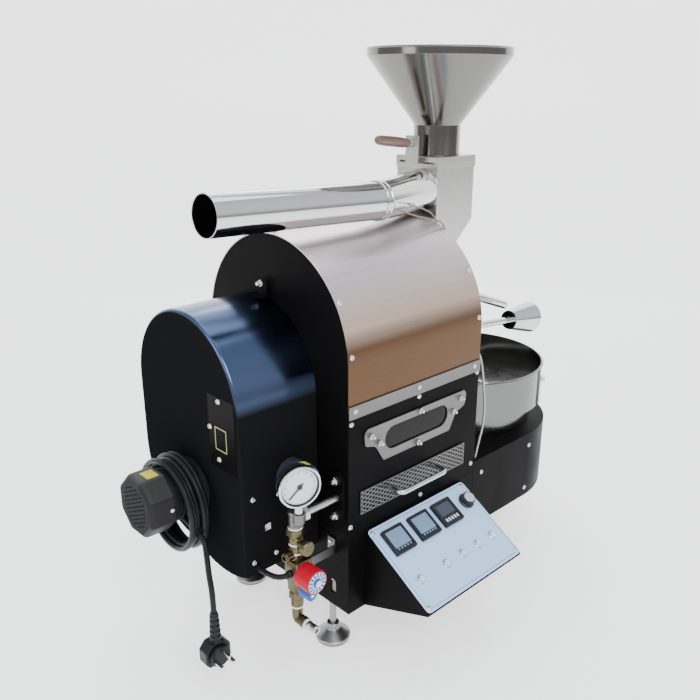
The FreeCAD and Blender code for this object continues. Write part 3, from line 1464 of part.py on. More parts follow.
def cooling_tray():
    """Air box, tray wall and rolled rim in one spinning, with the bean outlet cut in."""
    wall = S.tray_t
    body = turned("cooling_tray", [
        (S.plenum_r - wall, S.cooler_high),
        (S.plenum_r, S.cooler_high),
        (S.plenum_r, S.tray_low),
        (S.tray_r, S.tray_low),
        (S.tray_r, S.tray_rim - S.tray_roll),
        (S.tray_r + S.tray_roll, S.tray_rim - S.tray_roll / 2),
        (S.tray_r, S.tray_rim),
        (S.tray_r - wall, S.tray_rim),
        (S.tray_r - wall, S.tray_low + wall),
        (S.plenum_r - wall, S.tray_low + wall),
    ])
    body.Placement = Placement(vec(S.tray_x, 0, 0), Rotation())
    doc.recompute()
    whole = body.Shape.copy()
    turn = num(S.outlet_angle) - num(S.outlet_half)
    centre = vec(S.tray_x, 0, S.tray_low + wall + S.floor_t + 1.0)
    wedge = sector(centre, num(S.tray_r) + 1.0, num(S.tray_r) - 4.0, turn,
                   2 * num(S.outlet_half), num(S.outlet_tall))
    whole = whole.cut(wedge)
    guides = []
    for side in (-1, 1):
        angle = num(S.outlet_angle) + side * (num(S.outlet_half) + 2.6) - 0.6
        base = vec(S.tray_x, 0, S.tray_low)
        guides.append(sector(base, num(S.tray_r) + 3.0, num(S.tray_r) - 0.5, angle, 1.2, 78.0))
    sub_part("cooling_tray", shaped(whole.fuse(guides)))


def sector(centre, outer, inner, start, span, tall):
    """Ring segment around a vertical axis."""
    axis = Vector(0, 0, 1)
    big = Part.makeCylinder(outer, tall, centre, axis, span)
    small = Part.makeCylinder(inner, tall + 2.0, centre - axis, axis)
    piece = big.cut(small)
    piece.rotate(centre, axis, start)
    return piece


def tray_gate():
    """Curved gate that lifts to let the cooled beans out, with a finger tab."""
    base = vec(S.tray_x, 0, S.tray_low + 0.6)
    reach = num(S.outlet_half) + 1.6
    outer = num(S.tray_r + S.gap + 2.0)
    leaf = sector(base, outer, num(S.tray_r + S.gap), num(S.outlet_angle) - reach, 2 * reach, 45.0)
    tab_base = base + Vector(0, 0, 43.0)
    tab = sector(tab_base, outer + 7.0, outer - 1.0, num(S.outlet_angle) - 3.5, 7.0, 2.0)
    sub_part("tray_gate", shaped(leaf.fuse(tab)))


def tray_floor():
    """Perforated disc on the tray's ledge."""
    body = new_body("tray_floor")
    level = S.tray_low + S.tray_t
    disc = sketch_on(body, "XY_Plane", level)
    circle(disc, 0.0, 0.0, S.tray_r - S.tray_t - S.gap)
    circle(disc, 0.0, 0.0, S.stir_shaft_r + 6.0)
    pad(body, disc, S.floor_t)
    for row in range(6):
        radius = 36.0 + row * 19.0
        slot = sketch_on(body, "XY_Plane", level)
        rectangle(slot, radius, -1.8, radius + 12.0, 1.8)
        cutter = pocket(body, slot, S.floor_t * 4)
        around(body, cutter, body.Group[0], 8 + 4 * row)
    sub_part("tray_floor", body, Placement(vec(S.tray_x, 0, 0), Rotation()))


def stirrer():
    """Hub with three arms, each with two ploughs that skim the floor."""
    floor = num(S.tray_low + S.tray_t + S.floor_t)
    high = num(S.stir_high)
    shaft_low = num(S.cooler_high) - 26.0
    axis = Vector(0, 0, 1)
    shaft = Part.makeCylinder(num(S.stir_shaft_r), high - 10.0 - shaft_low,
                              Vector(0, 0, shaft_low), axis)
    hub = Part.makeCylinder(19.0, 30.0, Vector(0, 0, high - 34.0), axis)
    dome = Part.makeCone(19.0, 9.0, 7.0, Vector(0, 0, high - 4.0), axis)
    pieces = [hub, dome]
    arm_z = high - 18.0
    reach = num(S.stir_reach)
    for turn in range(3):
        arm = Part.makeCylinder(5.0, reach - 6.0, Vector(0, 0, arm_z), Vector(1, 0, 0))
        group_of_arm = [arm]
        for radius, long in ((70.0, 52.0), (reach - 34.0, 56.0)):
            plough = Part.makeBox(long, 2.5, arm_z - floor - 2.0,
                                  Vector(-long / 2, -1.25, floor + 2.0))
            plough.rotate(Vector(0, 0, 0), axis, 28.0)
            plough.translate(Vector(radius, 0, 0))
            group_of_arm.append(plough)
        for piece in group_of_arm:
            piece.rotate(Vector(0, 0, 0), axis, 120.0 * turn + 25.0)
        pieces += group_of_arm
    shape = shaft.fuse(pieces)
    sub_part("stirrer", shaped(shape), Placement(vec(S.tray_x, 0, 0), Rotation()))


def stirrer_motor():
    """Gear motor under the stirrer and the small motor of the fan, both on the floor."""
    floor = S.cooler_low + S.sheet_t
    height = S.cooler_high - 8.0 - floor
    can = rod("Z", S.tray_x, 0.0, floor, S.stir_motor_r, height)
    bore = rod("Z", S.tray_x, 0.0, S.cooler_high - 27.0, S.stir_shaft_r + S.fit, 40.0)
    flange = rod("Z", S.tray_x, 0.0, floor, S.stir_motor_r + 9.0, 5.0)
    fan_can = rod("Z", S.fan_x, S.fan_y, floor, 26.0, 62.0)
    fan_pin = rod("Z", S.fan_x, S.fan_y, floor + 60.0, 4.0, 44.0)
    stir = cut(fuse(can, flange), bore)
    sub_part("stirrer_motor", group(stir, fuse(fan_can, fan_pin)))


def cooling_fan():
    """Impeller: hub, bottom disc and ten back-leaning blades."""
    low = S.cooler_low + S.sheet_t + 66.0
    body = new_body("cooling_fan")
    disc = sketch_on(body, "XY_Plane", low)
    circle(disc, 0.0, 0.0, S.fan_r)
    circle(disc, 0.0, 0.0, 4.0 + S.fit)
    pad(body, disc, 2.0)
    hub = sketch_on(body, "XY_Plane", low)
    circle(hub, 0.0, 0.0, 12.0)
    circle(hub, 0.0, 0.0, 4.0 + S.fit)
    pad(body, hub, 30.0)
    blade = sketch_on(body, "XY_Plane", low)
    tip = S.fan_r - 1.0
    outline(blade, [(20.0, -9.0), (tip * 0.98, 2.0), (tip * 0.98, 4.0), (20.0, -7.0)])
    raised = pad(body, blade, 30.0)
    around(body, raised, body.Group[0], 10)
    sub_part("cooling_fan", body, Placement(vec(S.fan_x, S.fan_y, 0), Rotation()))


# ---------------------------------------------------------------- controls

def panel_place():
    """Frame of the sloping panel: x along the machine, y uphill, z outwards."""
    corner = vec(S.panel_x, S.panel_y, S.panel_z)
    return Placement(corner, Rotation(Vector(1, 0, 0), num(S.panel_tilt)))


METER_LEFT = (16.3, 79.4, 140.0)
KNOB_AT = (221.0, 37.0)
BUTTON_AT = (29.3, 93.0, 135.9, 176.6, 217.0)


def control_box():
    """Wedge-shaped sheet box on the near side of the base frame, open under the panel."""
    body = new_body("control_box")
    profile = sketch_on(body, "YZ_Plane", S.panel_x - 1.0)
    drop_y = S.panel_down * cosine(S.panel_tilt)
    drop_z = S.panel_down * sine(S.panel_tilt)
    in_y = S.panel_t * sine(S.panel_tilt)
    in_z = S.panel_t * cosine(S.panel_tilt)
    top_y = S.panel_y + in_y
    top_z = S.panel_z - in_z
    wall = -S.body_half
    rise = (top_y - wall) * (sine(S.panel_tilt) / cosine(S.panel_tilt))
    edge_y = S.panel_y - drop_y + in_y
    edge_z = S.panel_z - drop_z - in_z
    outline(profile, [
        (wall, S.base_bottom + 1.0),
        (wall, top_z - rise),
        (edge_y, edge_z),
        (edge_y, edge_z - 5.0),
    ])
    block = pad(body, profile, S.panel_long + 2.0)
    open_shell(body, block, S.sheet_t,
               Vector(0, -math.sin(math.radians(num(S.panel_tilt))),
                      math.cos(math.radians(num(S.panel_tilt)))))
    sub_part("control_box", body)


def control_panel():
    """Sloping sheet with cut-outs for the controllers, the knob and the push buttons."""
    body = new_body("control_panel")
    profile = sketch_on(body, "XY_Plane", -S.panel_t)
    rectangle(profile, 0.0, -S.panel_down, S.panel_long, 0.0)
    pad(body, profile, S.panel_t)
    holes = sketch_on(body, "XY_Plane")
    lip = 1.5
    for left in METER_LEFT:
        rectangle(holes, left + lip, -S.meter_down - S.meter_side + lip,
                  left + S.meter_side - lip, -S.meter_down - lip)
    circle(holes, KNOB_AT[0], -KNOB_AT[1], 4.0 + S.fit)
    for x in BUTTON_AT:
        circle(holes, x, -S.button_down, S.bezel_r - 1.0)
    pocket(body, holes, S.panel_t * 4)
    sub_part("control_panel", body, panel_place())


def panel_instruments():
    """Three square controllers, the five rings of the push buttons and the knob's spindle seat."""
    pieces = []
    lip = 1.5 + S.gap
    for left in METER_LEFT:
        low = -S.meter_down - S.meter_side
        front = box(left, low, 0.0, S.meter_side, S.meter_side, S.meter_proud)
        rear_side = S.meter_side - 2 * lip
        rear = box(left + lip, low + lip, -S.meter_deep, rear_side, rear_side, S.meter_deep + 1.0)
        face = box(left + 4.0, low + 4.0, S.meter_proud - 1.5,
                   S.meter_side - 8.0, S.meter_side - 8.0, 3.0)
        pieces.append(cut(fuse(front, rear), face))
    for x in BUTTON_AT:
        ring = rod("Z", x, -S.button_down, 0.0, S.bezel_r, 2.5)
        barrel = rod("Z", x, -S.button_down, -18.0, S.bezel_r - 1.0 - S.fit, 19.0)
        bore = rod("Z", x, -S.button_down, -10.0, S.button_r + S.gap, 20.0)
        pieces.append(cut(fuse(ring, barrel), bore))
    sub_part("panel_instruments", group(*pieces), panel_place())


def knob():
    """Skirted burner knob with a grip bar, and the spindle that it turns on."""
    body = turned("knob", [
        (0.0, -8.0),
        (4.0, -8.0),
        (4.0, S.gap),
        (S.knob_r, S.gap),
        (S.knob_r, 4.0),
        (S.knob_r - 2.0, 5.5),
        (S.knob_r - 3.0, S.knob_tall - 1.5),
        (S.knob_r - 4.5, S.knob_tall),
        (0.0, S.knob_tall),
    ])
    spot = panel_place().multVec(vec(KNOB_AT[0], -KNOB_AT[1], 0))
    sub_part("knob", body, Placement(spot, panel_place().Rotation))


def buttons():
    for index, x in enumerate(BUTTON_AT, 1):
        body = turned("button_%d" % index, [
            (0.0, -7.0),
            (S.button_r, -7.0),
            (S.button_r, 4.0),
            (S.button_r - 1.0, 5.0),
            (0.0, 5.0),
        ])
        spot = panel_place().multVec(vec(x, -S.button_down, 0))
        sub_part("button_%d" % index, body, Placement(spot, panel_place().Rotation))


# ---------------------------------------------------------------- feet, screws, cords

def feet():
    """Four levelling feet: rubber pad, lock nut under the foot plate and threaded stem."""
    solids = []
    nut_r = 10.0
    for x in (S.foot_x, S.body_length - S.foot_x):
        for y in (S.foot_y, -S.foot_y):
            body = turned("foot", [
                (0.0, 0.0),
                (S.foot_r - 1.5, 0.0),
                (S.foot_r, 1.5),
                (S.foot_r, 8.0),
                (S.stem_r + 8.0, S.foot_tall),
                (S.stem_r, S.foot_tall),
                (S.stem_r, S.base_bottom - 8.0),
                (nut_r, S.base_bottom - 8.0),
                (nut_r, S.base_bottom),
                (S.stem_r, S.base_bottom),
                (S.stem_r, S.base_bottom + 14.0),
                (0.0, S.base_bottom + 14.0),
            ])
            body.Placement = Placement(vec(x, y, 0), Rotation())
            solids.append(body)
    sub_part("feet", group(*solids))


def fasteners():
    """Button-head screws of strips, panels, frame and cover, and the flange nuts."""
    head_r = 4.6
    top_r = 2.8
    tall = 2.4
    near = -S.body_half
    solids = []
    for x in (12.5, 159.5, num(S.body_length) - 17.0):
        z = S.strip_low + S.strip_wide / 2
        solids.append(cone("-Y", x, near - S.strip_t, z, head_r, top_r, tall))
        solids.append(cone("Y", x, S.body_half + S.strip_t, z, head_r, top_r, tall))
    window = ((-33.5, 18.0), (-14.2, 0.5), (82.0, 27.5), (78.0, -29.0), (189.8, 20.0),
              (170.6, 0.0))
    for along, up in window:
        solids.append(cone("-Y", S.window_left + along, near - S.frame_t, S.window_z + up,
                           head_r, top_r, tall))
    for x in (8.0, num(S.body_length) - 8.0):
        for angle in (32.0, 60.0, 90.0, 120.0, 148.0):
            up = math.radians(angle)
            spot = Vector(x, -math.cos(up), math.sin(up)) * 1.0
            radius = num(S.body_half)
            centre = Vector(x, spot.y * radius, num(S.arch_z) + spot.z * radius)
            normal = Vector(0, spot.y, spot.z)
            head = Part.makeCone(head_r, top_r, tall, centre, normal)
            solids.append(shaped(head))
    for up in (32.0, -32.0):
        solids.append(prism("-X", -6.0, S.gas_y, S.gas_z + up, 6, 7.0, 6.0))
    sub_part("fasteners", group(*solids))


COIL_Z = S.motor_z + S.motor_r + S.coil_thick - S.coil_half_z + 0.5
COIL_Y = S.motor_y + 2.0
COIL_FRONT = COVER_FACE - 10.0


def cord_gland():
    """Cord grip that screws into the drive cover beside the motor."""
    lean = math.radians(20.0)
    band_y = num(S.coil_half_y - S.coil_thick / 2)
    band_z = num(S.coil_half_z - S.coil_thick / 2)
    spot = vec(COVER_FACE, COIL_Y + band_y * math.cos(lean), COIL_Z + band_z * math.sin(lean))
    collar = prism("-X", spot.x, spot.y, spot.z, 6, 11.0, 5.0)
    nose = cone("-X", spot.x - 5.0, spot.y, spot.z, 9.0, 6.0, 5.0)
    sub_part("cord_gland", fuse(collar, nose))


def cord_coil():
    """Outer form of the cord's loops, hung over the gear motor."""
    def oval(half_y, half_z):
        ring = Part.Ellipse(Vector(0, 0, 0), max(half_y, half_z), min(half_y, half_z)).toShape()
        ring.rotate(Vector(0, 0, 0), Vector(0, 0, 1), 90 if half_z > half_y else 0)
        ring.rotate(Vector(0, 0, 0), Vector(1, 1, 1), 120)
        ring.translate(vec(COIL_FRONT - S.coil_long, COIL_Y, COIL_Z))
        return Part.Face(Part.Wire([ring])).extrude(vec(S.coil_long, 0, 0))
    outer = oval(num(S.coil_half_y), num(S.coil_half_z))
    inner = oval(num(S.coil_half_y - S.coil_thick), num(S.coil_half_z - S.coil_thick))
    sub_part("cord_coil", shaped(outer.cut(inner)))


CORD_TAIL = (
    (-186.0, -47.0, 262.0),
    (-190.0, -58.0, 236.0),
    (-194.0, -67.0, 205.0),
    (-197.0, -79.0, 176.0),
    (-199.0, -82.0, 146.0),
)


def cord_tail():
    sub_part("cord_tail", shaped(tube(CORD_TAIL, S.cord_r)))


def mains_plug():
    """Moulded plug with a tapered strain relief on the end of the cord."""
    end = Vector(*CORD_TAIL[-1])
    relief_long = 58.0
    relief = Part.makeCone(num(S.cord_r) + 1.2, 8.0, relief_long, end, Vector(0, 0, -1))
    shell = []
    for level, half_x, half_y in ((0.0, 10.0, 12.0), (10.0, 22.0, 16.0), (42.0, 25.0, 18.0)):
        z = end.z - relief_long + 4.0 - level
        corners = []
        for side_x, side_y in ((1, 0.5), (0.5, 1), (-0.5, 1), (-1, 0.5),
                               (-1, -0.5), (-0.5, -1), (0.5, -1), (1, -0.5)):
            corners.append(Vector(end.x + half_x * side_x, end.y + half_y * side_y, z))
        shell.append(Part.makePolygon(corners + corners[:1]))
    moulding = Part.makeLoft(shell, True, True)
    pin_z = end.z - relief_long - 26.0
    pins = []
    for x, long in ((-11.0, 6.4), (11.0, 6.4)):
        pins.append(Part.makeBox(long, 18.0, 4.0, Vector(end.x + x - long / 2, end.y - 34.0, pin_z)))
    pins.append(Part.makeBox(4.0, 22.0, 8.0, Vector(end.x - 2.0, end.y - 38.0, pin_z + 14.0)))
    sub_part("mains_plug", shaped(relief.fuse([moulding] + pins)))


PROBE_ROUTE = (
    (324.3, -160.0, 486.0),
    (340.0, -163.0, 476.0),
    (346.0, -170.0, 452.0),
    (344.0, -178.0, 412.0),
    (347.0, -182.0, 372.0),
    (345.0, -182.0, 330.0),
    (341.0, -176.0, 292.0),
    (339.0, -172.0, 260.0),
)


def probe_cable():
    sub_part("probe_cable", shaped(tube(PROBE_ROUTE, S.probe_r)))


# ---------------------------------------------------------------- build

CORD_NODES = ("cord_gland", "cord_coil", "cord_tail", "mains_plug")


def build_all():
    for make in (
        base_frame, rear_plate, front_plate, copper_cover, cover_strips, side_panels,
        window_frame, window_glass, drawer, drum, drum_shaft, drum_bearings, burner,
        drive_cover, gear_motor, motor_fan_cap, sprockets_and_chain, side_motor, gauge,
        gas_manifold, brass_fittings, solenoid_valve, solenoid_cable, chute, chute_cap,
        hopper, slide_gate, gate_handle, exhaust_pipe, discharge_door, door_lever, trier,
        sight_window, cooling_base, cooling_tray, tray_gate, tray_floor, stirrer,
        stirrer_motor, cooling_fan, control_box, control_panel, panel_instruments, knob,
        buttons, feet, fasteners, cord_gland, cord_coil, cord_tail, mains_plug, probe_cable,
    ):
        make()
    doc.recompute()


def stand_on_origin():
    """Move every sub-part so that the origin lies under the middle of the machine's box."""
    whole = FreeCAD.BoundBox()
    for node, thing in NODES.items():
        if node not in CORD_NODES:
            whole.add(thing.Shape.BoundBox)
    shift = Placement(Vector(-whole.Center.x, -whole.Center.y, -whole.ZMin), Rotation())
    for thing in NODES.values():
        thing.Placement = shift.multiply(thing.Placement)
    doc.recompute()
    print("origin shift %.4f %.4f %.4f" % tuple(shift.Base))
    print("size %.1f x %.1f x %.1f" % (whole.XLength, whole.YLength, whole.ZLength))


def check_and_write():
    for thing in doc.Objects:
        bad = [state for state in thing.State if state in ("Invalid", "Error")]
        if bad:
            raise RuntimeError("%s is %s" % (thing.Label, bad))
    for node, thing in NODES.items():
        shape = thing.Shape
        if shape.isNull() or not shape.isValid() or not shape.Solids:
            raise RuntimeError("%s has no sound shape" % node)
    os.makedirs("parts", exist_ok=True)
    for node, thing in NODES.items():
        thing.Shape.exportStep("parts/%s.step" % node)
    print("%d sub-parts written" % len(NODES))


build_all()
stand_on_origin()
check_and_write()
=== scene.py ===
import math

import bmesh
import bpy
from bpy.props import FloatProperty, FloatVectorProperty, IntProperty, PointerProperty
from mathutils import Matrix, Vector


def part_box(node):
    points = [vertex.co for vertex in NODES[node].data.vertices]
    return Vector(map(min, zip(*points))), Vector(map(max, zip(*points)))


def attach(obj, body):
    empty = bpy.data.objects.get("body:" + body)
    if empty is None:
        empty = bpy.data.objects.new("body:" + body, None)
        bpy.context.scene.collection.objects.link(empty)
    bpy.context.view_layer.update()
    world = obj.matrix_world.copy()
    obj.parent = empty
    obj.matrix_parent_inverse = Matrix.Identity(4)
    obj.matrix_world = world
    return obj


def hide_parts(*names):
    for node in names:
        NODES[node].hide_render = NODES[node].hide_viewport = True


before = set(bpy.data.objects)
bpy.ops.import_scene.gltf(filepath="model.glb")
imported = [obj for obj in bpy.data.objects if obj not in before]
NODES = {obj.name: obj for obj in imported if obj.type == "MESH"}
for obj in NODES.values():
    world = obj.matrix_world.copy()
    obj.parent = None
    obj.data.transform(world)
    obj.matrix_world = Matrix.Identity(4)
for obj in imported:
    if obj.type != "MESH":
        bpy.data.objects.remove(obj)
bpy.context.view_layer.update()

bl_info = {
    "name": "Drum Coffee Roaster",
    "version": (1, 0, 0),
    "blender": (4, 5, 0),
    "location": "View3D > Sidebar > Roaster",
    "description": "Dresses the frame of a small drum coffee roaster",
    "category": "Add Mesh",
}

MM = 0.001

# Machine frame: x = 0 at the rear plate's rear face, y = 0 on the drum's centre plane and
# z = 0 on the table, in millimetres. The rear plate says where that frame lies.
PLATE_LOW, PLATE_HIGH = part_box("rear_plate")
ORIGIN = Vector((PLATE_LOW[0], (PLATE_LOW[1] + PLATE_HIGH[1]) / 2, 0.0))

BODY_LONG = 324.0
BODY_HALF = 180.8
SEAM_Z = 456.4
ARCH_Z = 530.3
DRIVE_DEEP = 152.0
MOTOR_Y = 30.0
MOTOR_Z = 310.0
MOTOR_R = 45.0
GATE_X = 395.5
CAP_TOP = 809.0
GAS_X = -92.0
GAS_Y = -159.0
GAS_Z = 305.6
GAUGE_Z = 369.0
GAUGE_TURN = 17.2
VALVE_Z = 213.0
HOOD_NEAR = -105.5
SIDE_MOTOR_X = -60.0
SIDE_MOTOR_Z = 350.0
PIPE_END = (-154.9, -56.0, 760.8)
PIPE_JOINT = (190.0, -49.5, 748.0)
PIPE_MOUTH = (343.0, -12.0, 749.5)
PANEL_TILT = math.radians(31.2)
PANEL_CORNER = (37.8, -185.4, 236.3)
PANEL_LONG = 245.4
PANEL_DOWN = 163.3
BUTTON_AT = (29.3, 93.0, 135.9, 176.6, 217.0)
METER_LEFT = (16.3, 79.4, 140.0)
METER_DOWN = 14.0
METER_SIDE = 48.0
KNOB_AT = (221.0, 37.0)
BUTTON_DOWN = 113.0
X_AXIS = Vector((1, 0, 0))
Y_AXIS = Vector((0, 1, 0))
Z_AXIS = Vector((0, 0, 1))
ALONG = (4.0, 900.0, 900.0)
UPRIGHT = (900.0, 900.0, 4.0)


def at(x, y, z):
    """A point of the machine frame in millimetres, in the row's frame in metres."""
    return ORIGIN + Vector((x, y, z)) * MM


def panel_matrix():
    """Frame of the sloping panel: x along the machine, y uphill, z outwards, in metres."""
    turn = Matrix.Rotation(PANEL_TILT, 4, "X")
    return Matrix.Translation(at(*PANEL_CORNER)) @ turn


def panel_point(along, down):
    """A point of the panel's face."""
    return panel_matrix() @ Vector((along * MM, -down * MM, 0.0))


def panel_outward():
    """The way the panel's face looks."""
    return panel_matrix().to_3x3() @ Z_AXIS


# ---------------------------------------------------------------- properties

class RoasterSizes(bpy.types.PropertyGroup):
    """Sizes that a user may change without touching the frame."""

    screw_head: FloatProperty(name="Screw head", description="Radius of the button heads",
                              default=0.0046, min=0.001, unit="LENGTH")
    cord: FloatProperty(name="Mains cord", description="Diameter of the mains cord",
                        default=0.0095, min=0.004, unit="LENGTH")
    cable: FloatProperty(name="Probe cable", description="Diameter of the braided probe cable",
                         default=0.0045, min=0.002, unit="LENGTH")
    punch_pitch: FloatProperty(name="Mesh pitch", description="Width of the drawer's diamonds",
                               default=0.0136, min=0.004, unit="LENGTH")
    punch_bar: FloatProperty(name="Mesh bar", description="Width of the bars between them",
                             default=0.0024, min=0.0005, unit="LENGTH")
    punch_squash: FloatProperty(name="Mesh squash", description="Height of a diamond to its width",
                                default=0.62, min=0.2, max=1.5)
    turns: IntProperty(name="Cord turns", description="Loops hung over the motor",
                       default=5, min=1, max=8)
    facets: IntProperty(name="Facets", description="Facets around large turned pieces",
                        default=128, min=24, max=256)


class RoasterColours(bpy.types.PropertyGroup):
    """Base colours of the finishes."""

    paint: FloatVectorProperty(name="Casing paint", description="Black powder coat",
                               subtype="COLOR", default=(0.0038, 0.0034, 0.0037))
    hood: FloatVectorProperty(name="Hood paint", description="Glossier black of the drive hood",
                              subtype="COLOR", default=(0.0080, 0.0080, 0.0084))
    # Painted reflection: the blue given to the hood's upward faces in place of the sky they
    # reflect.
    sky_reflection: FloatVectorProperty(name="Hood flake", description="Blue in the hood's paint",
                               subtype="COLOR", default=(0.072, 0.105, 0.19))
    copper: FloatVectorProperty(name="Copper", description="Brushed cover sheet",
                                subtype="COLOR", default=(0.120, 0.066, 0.036))
    # Painted reflection: the copper's colour half way up and at the crest stands in for what the
    # arched sheet reflects.
    copper_mid_reflection: FloatVectorProperty(name="Copper middle", description="Its tint half way up",
                                    subtype="COLOR", default=(0.80, 0.63, 0.51))
    copper_crest_reflection: FloatVectorProperty(name="Copper top", description="Its tint at the crest",
                                    subtype="COLOR", default=(0.84, 0.75, 0.76))
    steel: FloatVectorProperty(name="Steel", description="Brushed stainless sheet",
                               subtype="COLOR", default=(0.56, 0.55, 0.53))
    polished: FloatVectorProperty(name="Polished steel", description="Pipe and lever",
                                  subtype="COLOR", default=(0.64, 0.64, 0.64))
    spun: FloatVectorProperty(name="Spun steel", description="Hopper",
                              subtype="COLOR", default=(0.165, 0.162, 0.150))
    brass: FloatVectorProperty(name="Brass", description="Turned brass fittings",
                               subtype="COLOR", default=(0.135, 0.113, 0.062))
    red: FloatVectorProperty(name="Coil red", description="Moulded solenoid coil",
                             subtype="COLOR", default=(0.40, 0.0, 0.016))
    grip: FloatVectorProperty(name="Grip wood", description="Turned hardwood grip",
                              subtype="COLOR", default=(0.135, 0.072, 0.058))
    panel: FloatVectorProperty(name="Panel", description="Pale control panel",
                               subtype="COLOR", default=(0.46, 0.68, 1.0))
    motor: FloatVectorProperty(name="Motor grey", description="Enamel of the motors",
                               subtype="COLOR", default=(0.017, 0.0165, 0.017))


def sizes():
    return bpy.context.scene.roaster_sizes


def colours():
    return bpy.context.scene.roaster_colours


# ---------------------------------------------------------------- shader node groups

def new_group(name, inputs, outputs, kind="Shader"):
    """An empty node group with named sockets, and the sockets that its inputs arrive at."""
    group = bpy.data.node_groups.new(name, kind + "NodeTree")
    for label, sort, *value in inputs:
        socket = group.interface.new_socket(label, in_out="INPUT",
                                            socket_type="NodeSocket" + sort)
        if value:
            socket.default_value = value[0]
    for label, sort in outputs:
        group.interface.new_socket(label, in_out="OUTPUT", socket_type="NodeSocket" + sort)
    return group, group.nodes.new("NodeGroupInput").outputs


def add(tree, kind, inputs=(), pick=0, **settings):
    """A node whose inputs are linked to sockets or set to values; gives its picked output."""
    made = tree.nodes.new(kind)
    for name, value in settings.items():
        setattr(made, name, value)
    for key, value in dict(inputs).items():
        if isinstance(value, bpy.types.NodeSocket):
            tree.links.new(value, made.inputs[key])
        else:
            made.inputs[key].default_value = value
    return made if pick is None else made.outputs[pick]


def upward(tree):
    """How far the surface faces up."""
    facing = add(tree, "ShaderNodeNewGeometry", pick="Normal")
    return add(tree, "ShaderNodeSeparateXYZ", {0: facing}, "Z")


def ramp(tree, value, stops, blend="LINEAR"):
    """A colour ramp through (level, colour) stops."""
    made = add(tree, "ShaderNodeValToRGB", {0: value}, None)
    made.color_ramp.interpolation = blend
    elements = made.color_ramp.elements
    for index, (level, shade) in ((0, stops[0]), (1, stops[-1])):
        elements[index].position = level
        elements[index].color = (*shade, 1.0)
    for level, shade in stops[1:-1]:
        elements.new(level).color = (*shade, 1.0)
    return made.outputs[0]


def grain_group():
    """Fine lines of brushed metal, stretched along one axis, and their bump."""
    group, given = new_group(
        "BrushedGrain",
        [("Scale", "Vector", ALONG), ("Low", "Float", 0.25), ("High", "Float", 0.45),
         ("Strength", "Float", 0.1)],
        [("Roughness", "Float"), ("Lines", "Float"), ("Normal", "Vector")])
    place = add(group, "ShaderNodeTexCoord", pick="Object")
    stretch = add(group, "ShaderNodeVectorMath", {0: place, 1: given["Scale"]},
                  operation="MULTIPLY")
    lines = add(group, "ShaderNodeTexNoise",
                {"Vector": stretch, "Scale": 1.0, "Detail": 6.0, "Roughness": 0.65})
    rough = add(group, "ShaderNodeMapRange",
                {"Value": lines, "From Min": 0.3, "From Max": 0.7,
                 "To Min": given["Low"], "To Max": given["High"]})
    bump = add(group, "ShaderNodeBump",
               {"Strength": given["Strength"], "Distance": 0.0002, "Height": lines})
    add(group, "NodeGroupOutput", {"Roughness": rough, "Lines": lines, "Normal": bump}, None)
    return group


def coat_group():
    """Orange peel of powder coat, handling marks, and a mask of upward faces for settled dust and
    painted top light.
    """
    group, given = new_group(
        "PowderCoat",
        [("Peel", "Float", 900.0), ("Low", "Float", 0.3), ("High", "Float", 0.5),
         ("Strength", "Float", 0.08)],
        [("Roughness", "Float"), ("DustAndTopLight", "Float"), ("Normal", "Vector")])
    place = add(group, "ShaderNodeTexCoord", pick="Object")
    peel = add(group, "ShaderNodeTexNoise",
               {"Vector": place, "Scale": given["Peel"], "Detail": 2.0})
    marks = add(group, "ShaderNodeTexNoise",
                {"Vector": place, "Scale": 9.0, "Detail": 5.0, "Distortion": 0.6})
    rough = add(group, "ShaderNodeMapRange",
                {"Value": marks, "From Min": 0.35, "From Max": 0.7,
                 "To Min": given["Low"], "To Max": given["High"]})
    up_facing = add(group, "ShaderNodeMapRange",
                 {"Value": upward(group), "From Min": 0.55, "From Max": 1.0})
    dust_and_top_light = add(group, "ShaderNodeMath", {0: up_facing, 1: marks}, operation="MULTIPLY")
    bump = add(group, "ShaderNodeBump",
               {"Strength": given["Strength"], "Distance": 0.0003, "Height": peel})
    add(group, "NodeGroupOutput", {"Roughness": rough, "DustAndTopLight": dust_and_top_light, "Normal": bump}, None)
    return group


GROUPS = {"BrushedGrain": grain_group, "PowderCoat": coat_group}


# ---------------------------------------------------------------- materials

def base_material(name, colour, metallic=0.0, roughness=0.5, coat=0.0, specular=0.5):
    """A material with its plain values, and its shader."""
    made = bpy.data.materials.new(name)
    made.use_nodes = True
    shader = made.node_tree.nodes["Principled BSDF"]
    shader.inputs["Base Color"].default_value = (*colour, 1.0)
    shader.inputs["Metallic"].default_value = metallic
    shader.inputs["Roughness"].default_value = roughness
    shader.inputs["Specular IOR Level"].default_value = specular
    shader.inputs["Coat Weight"].default_value = coat
    shader.inputs["Coat Roughness"].default_value = 0.1
    return made, shader


def film(made, shader, name, values, feeds=("Roughness", "Normal")):
    """Place a group that is built once, feed the shader from it, and give its outputs."""
    group = bpy.data.node_groups.get(name) or GROUPS[name]()
    outputs = add(made.node_tree, "ShaderNodeGroup", values, None, node_tree=group).outputs
    for label in feeds:
        made.node_tree.links.new(outputs[label], shader.inputs[label])
    return outputs


def tinted(made, shader, mask, colour, other):
    """Vary the base colour between two shades by a mask."""
    shade = add(made.node_tree, "ShaderNodeMix",
                {0: mask, 6: (*colour, 1.0), 7: (*other, 1.0)}, 2, data_type="RGBA")
    made.node_tree.links.new(shade, shader.inputs["Base Color"])


def brushed(name, colour, low, high, scale=ALONG, strength=0.12, shade=0.82):
    """Brushed sheet metal whose lines run along the axis with the smallest scale."""
    made, shader = base_material(name, colour, metallic=1.0)
    grain = film(made, shader, "BrushedGrain",
                 {"Scale": scale, "Low": low, "High": high, "Strength": strength})
    tinted(made, shader, grain["Lines"], colour, [part * shade for part in colour])
    return made


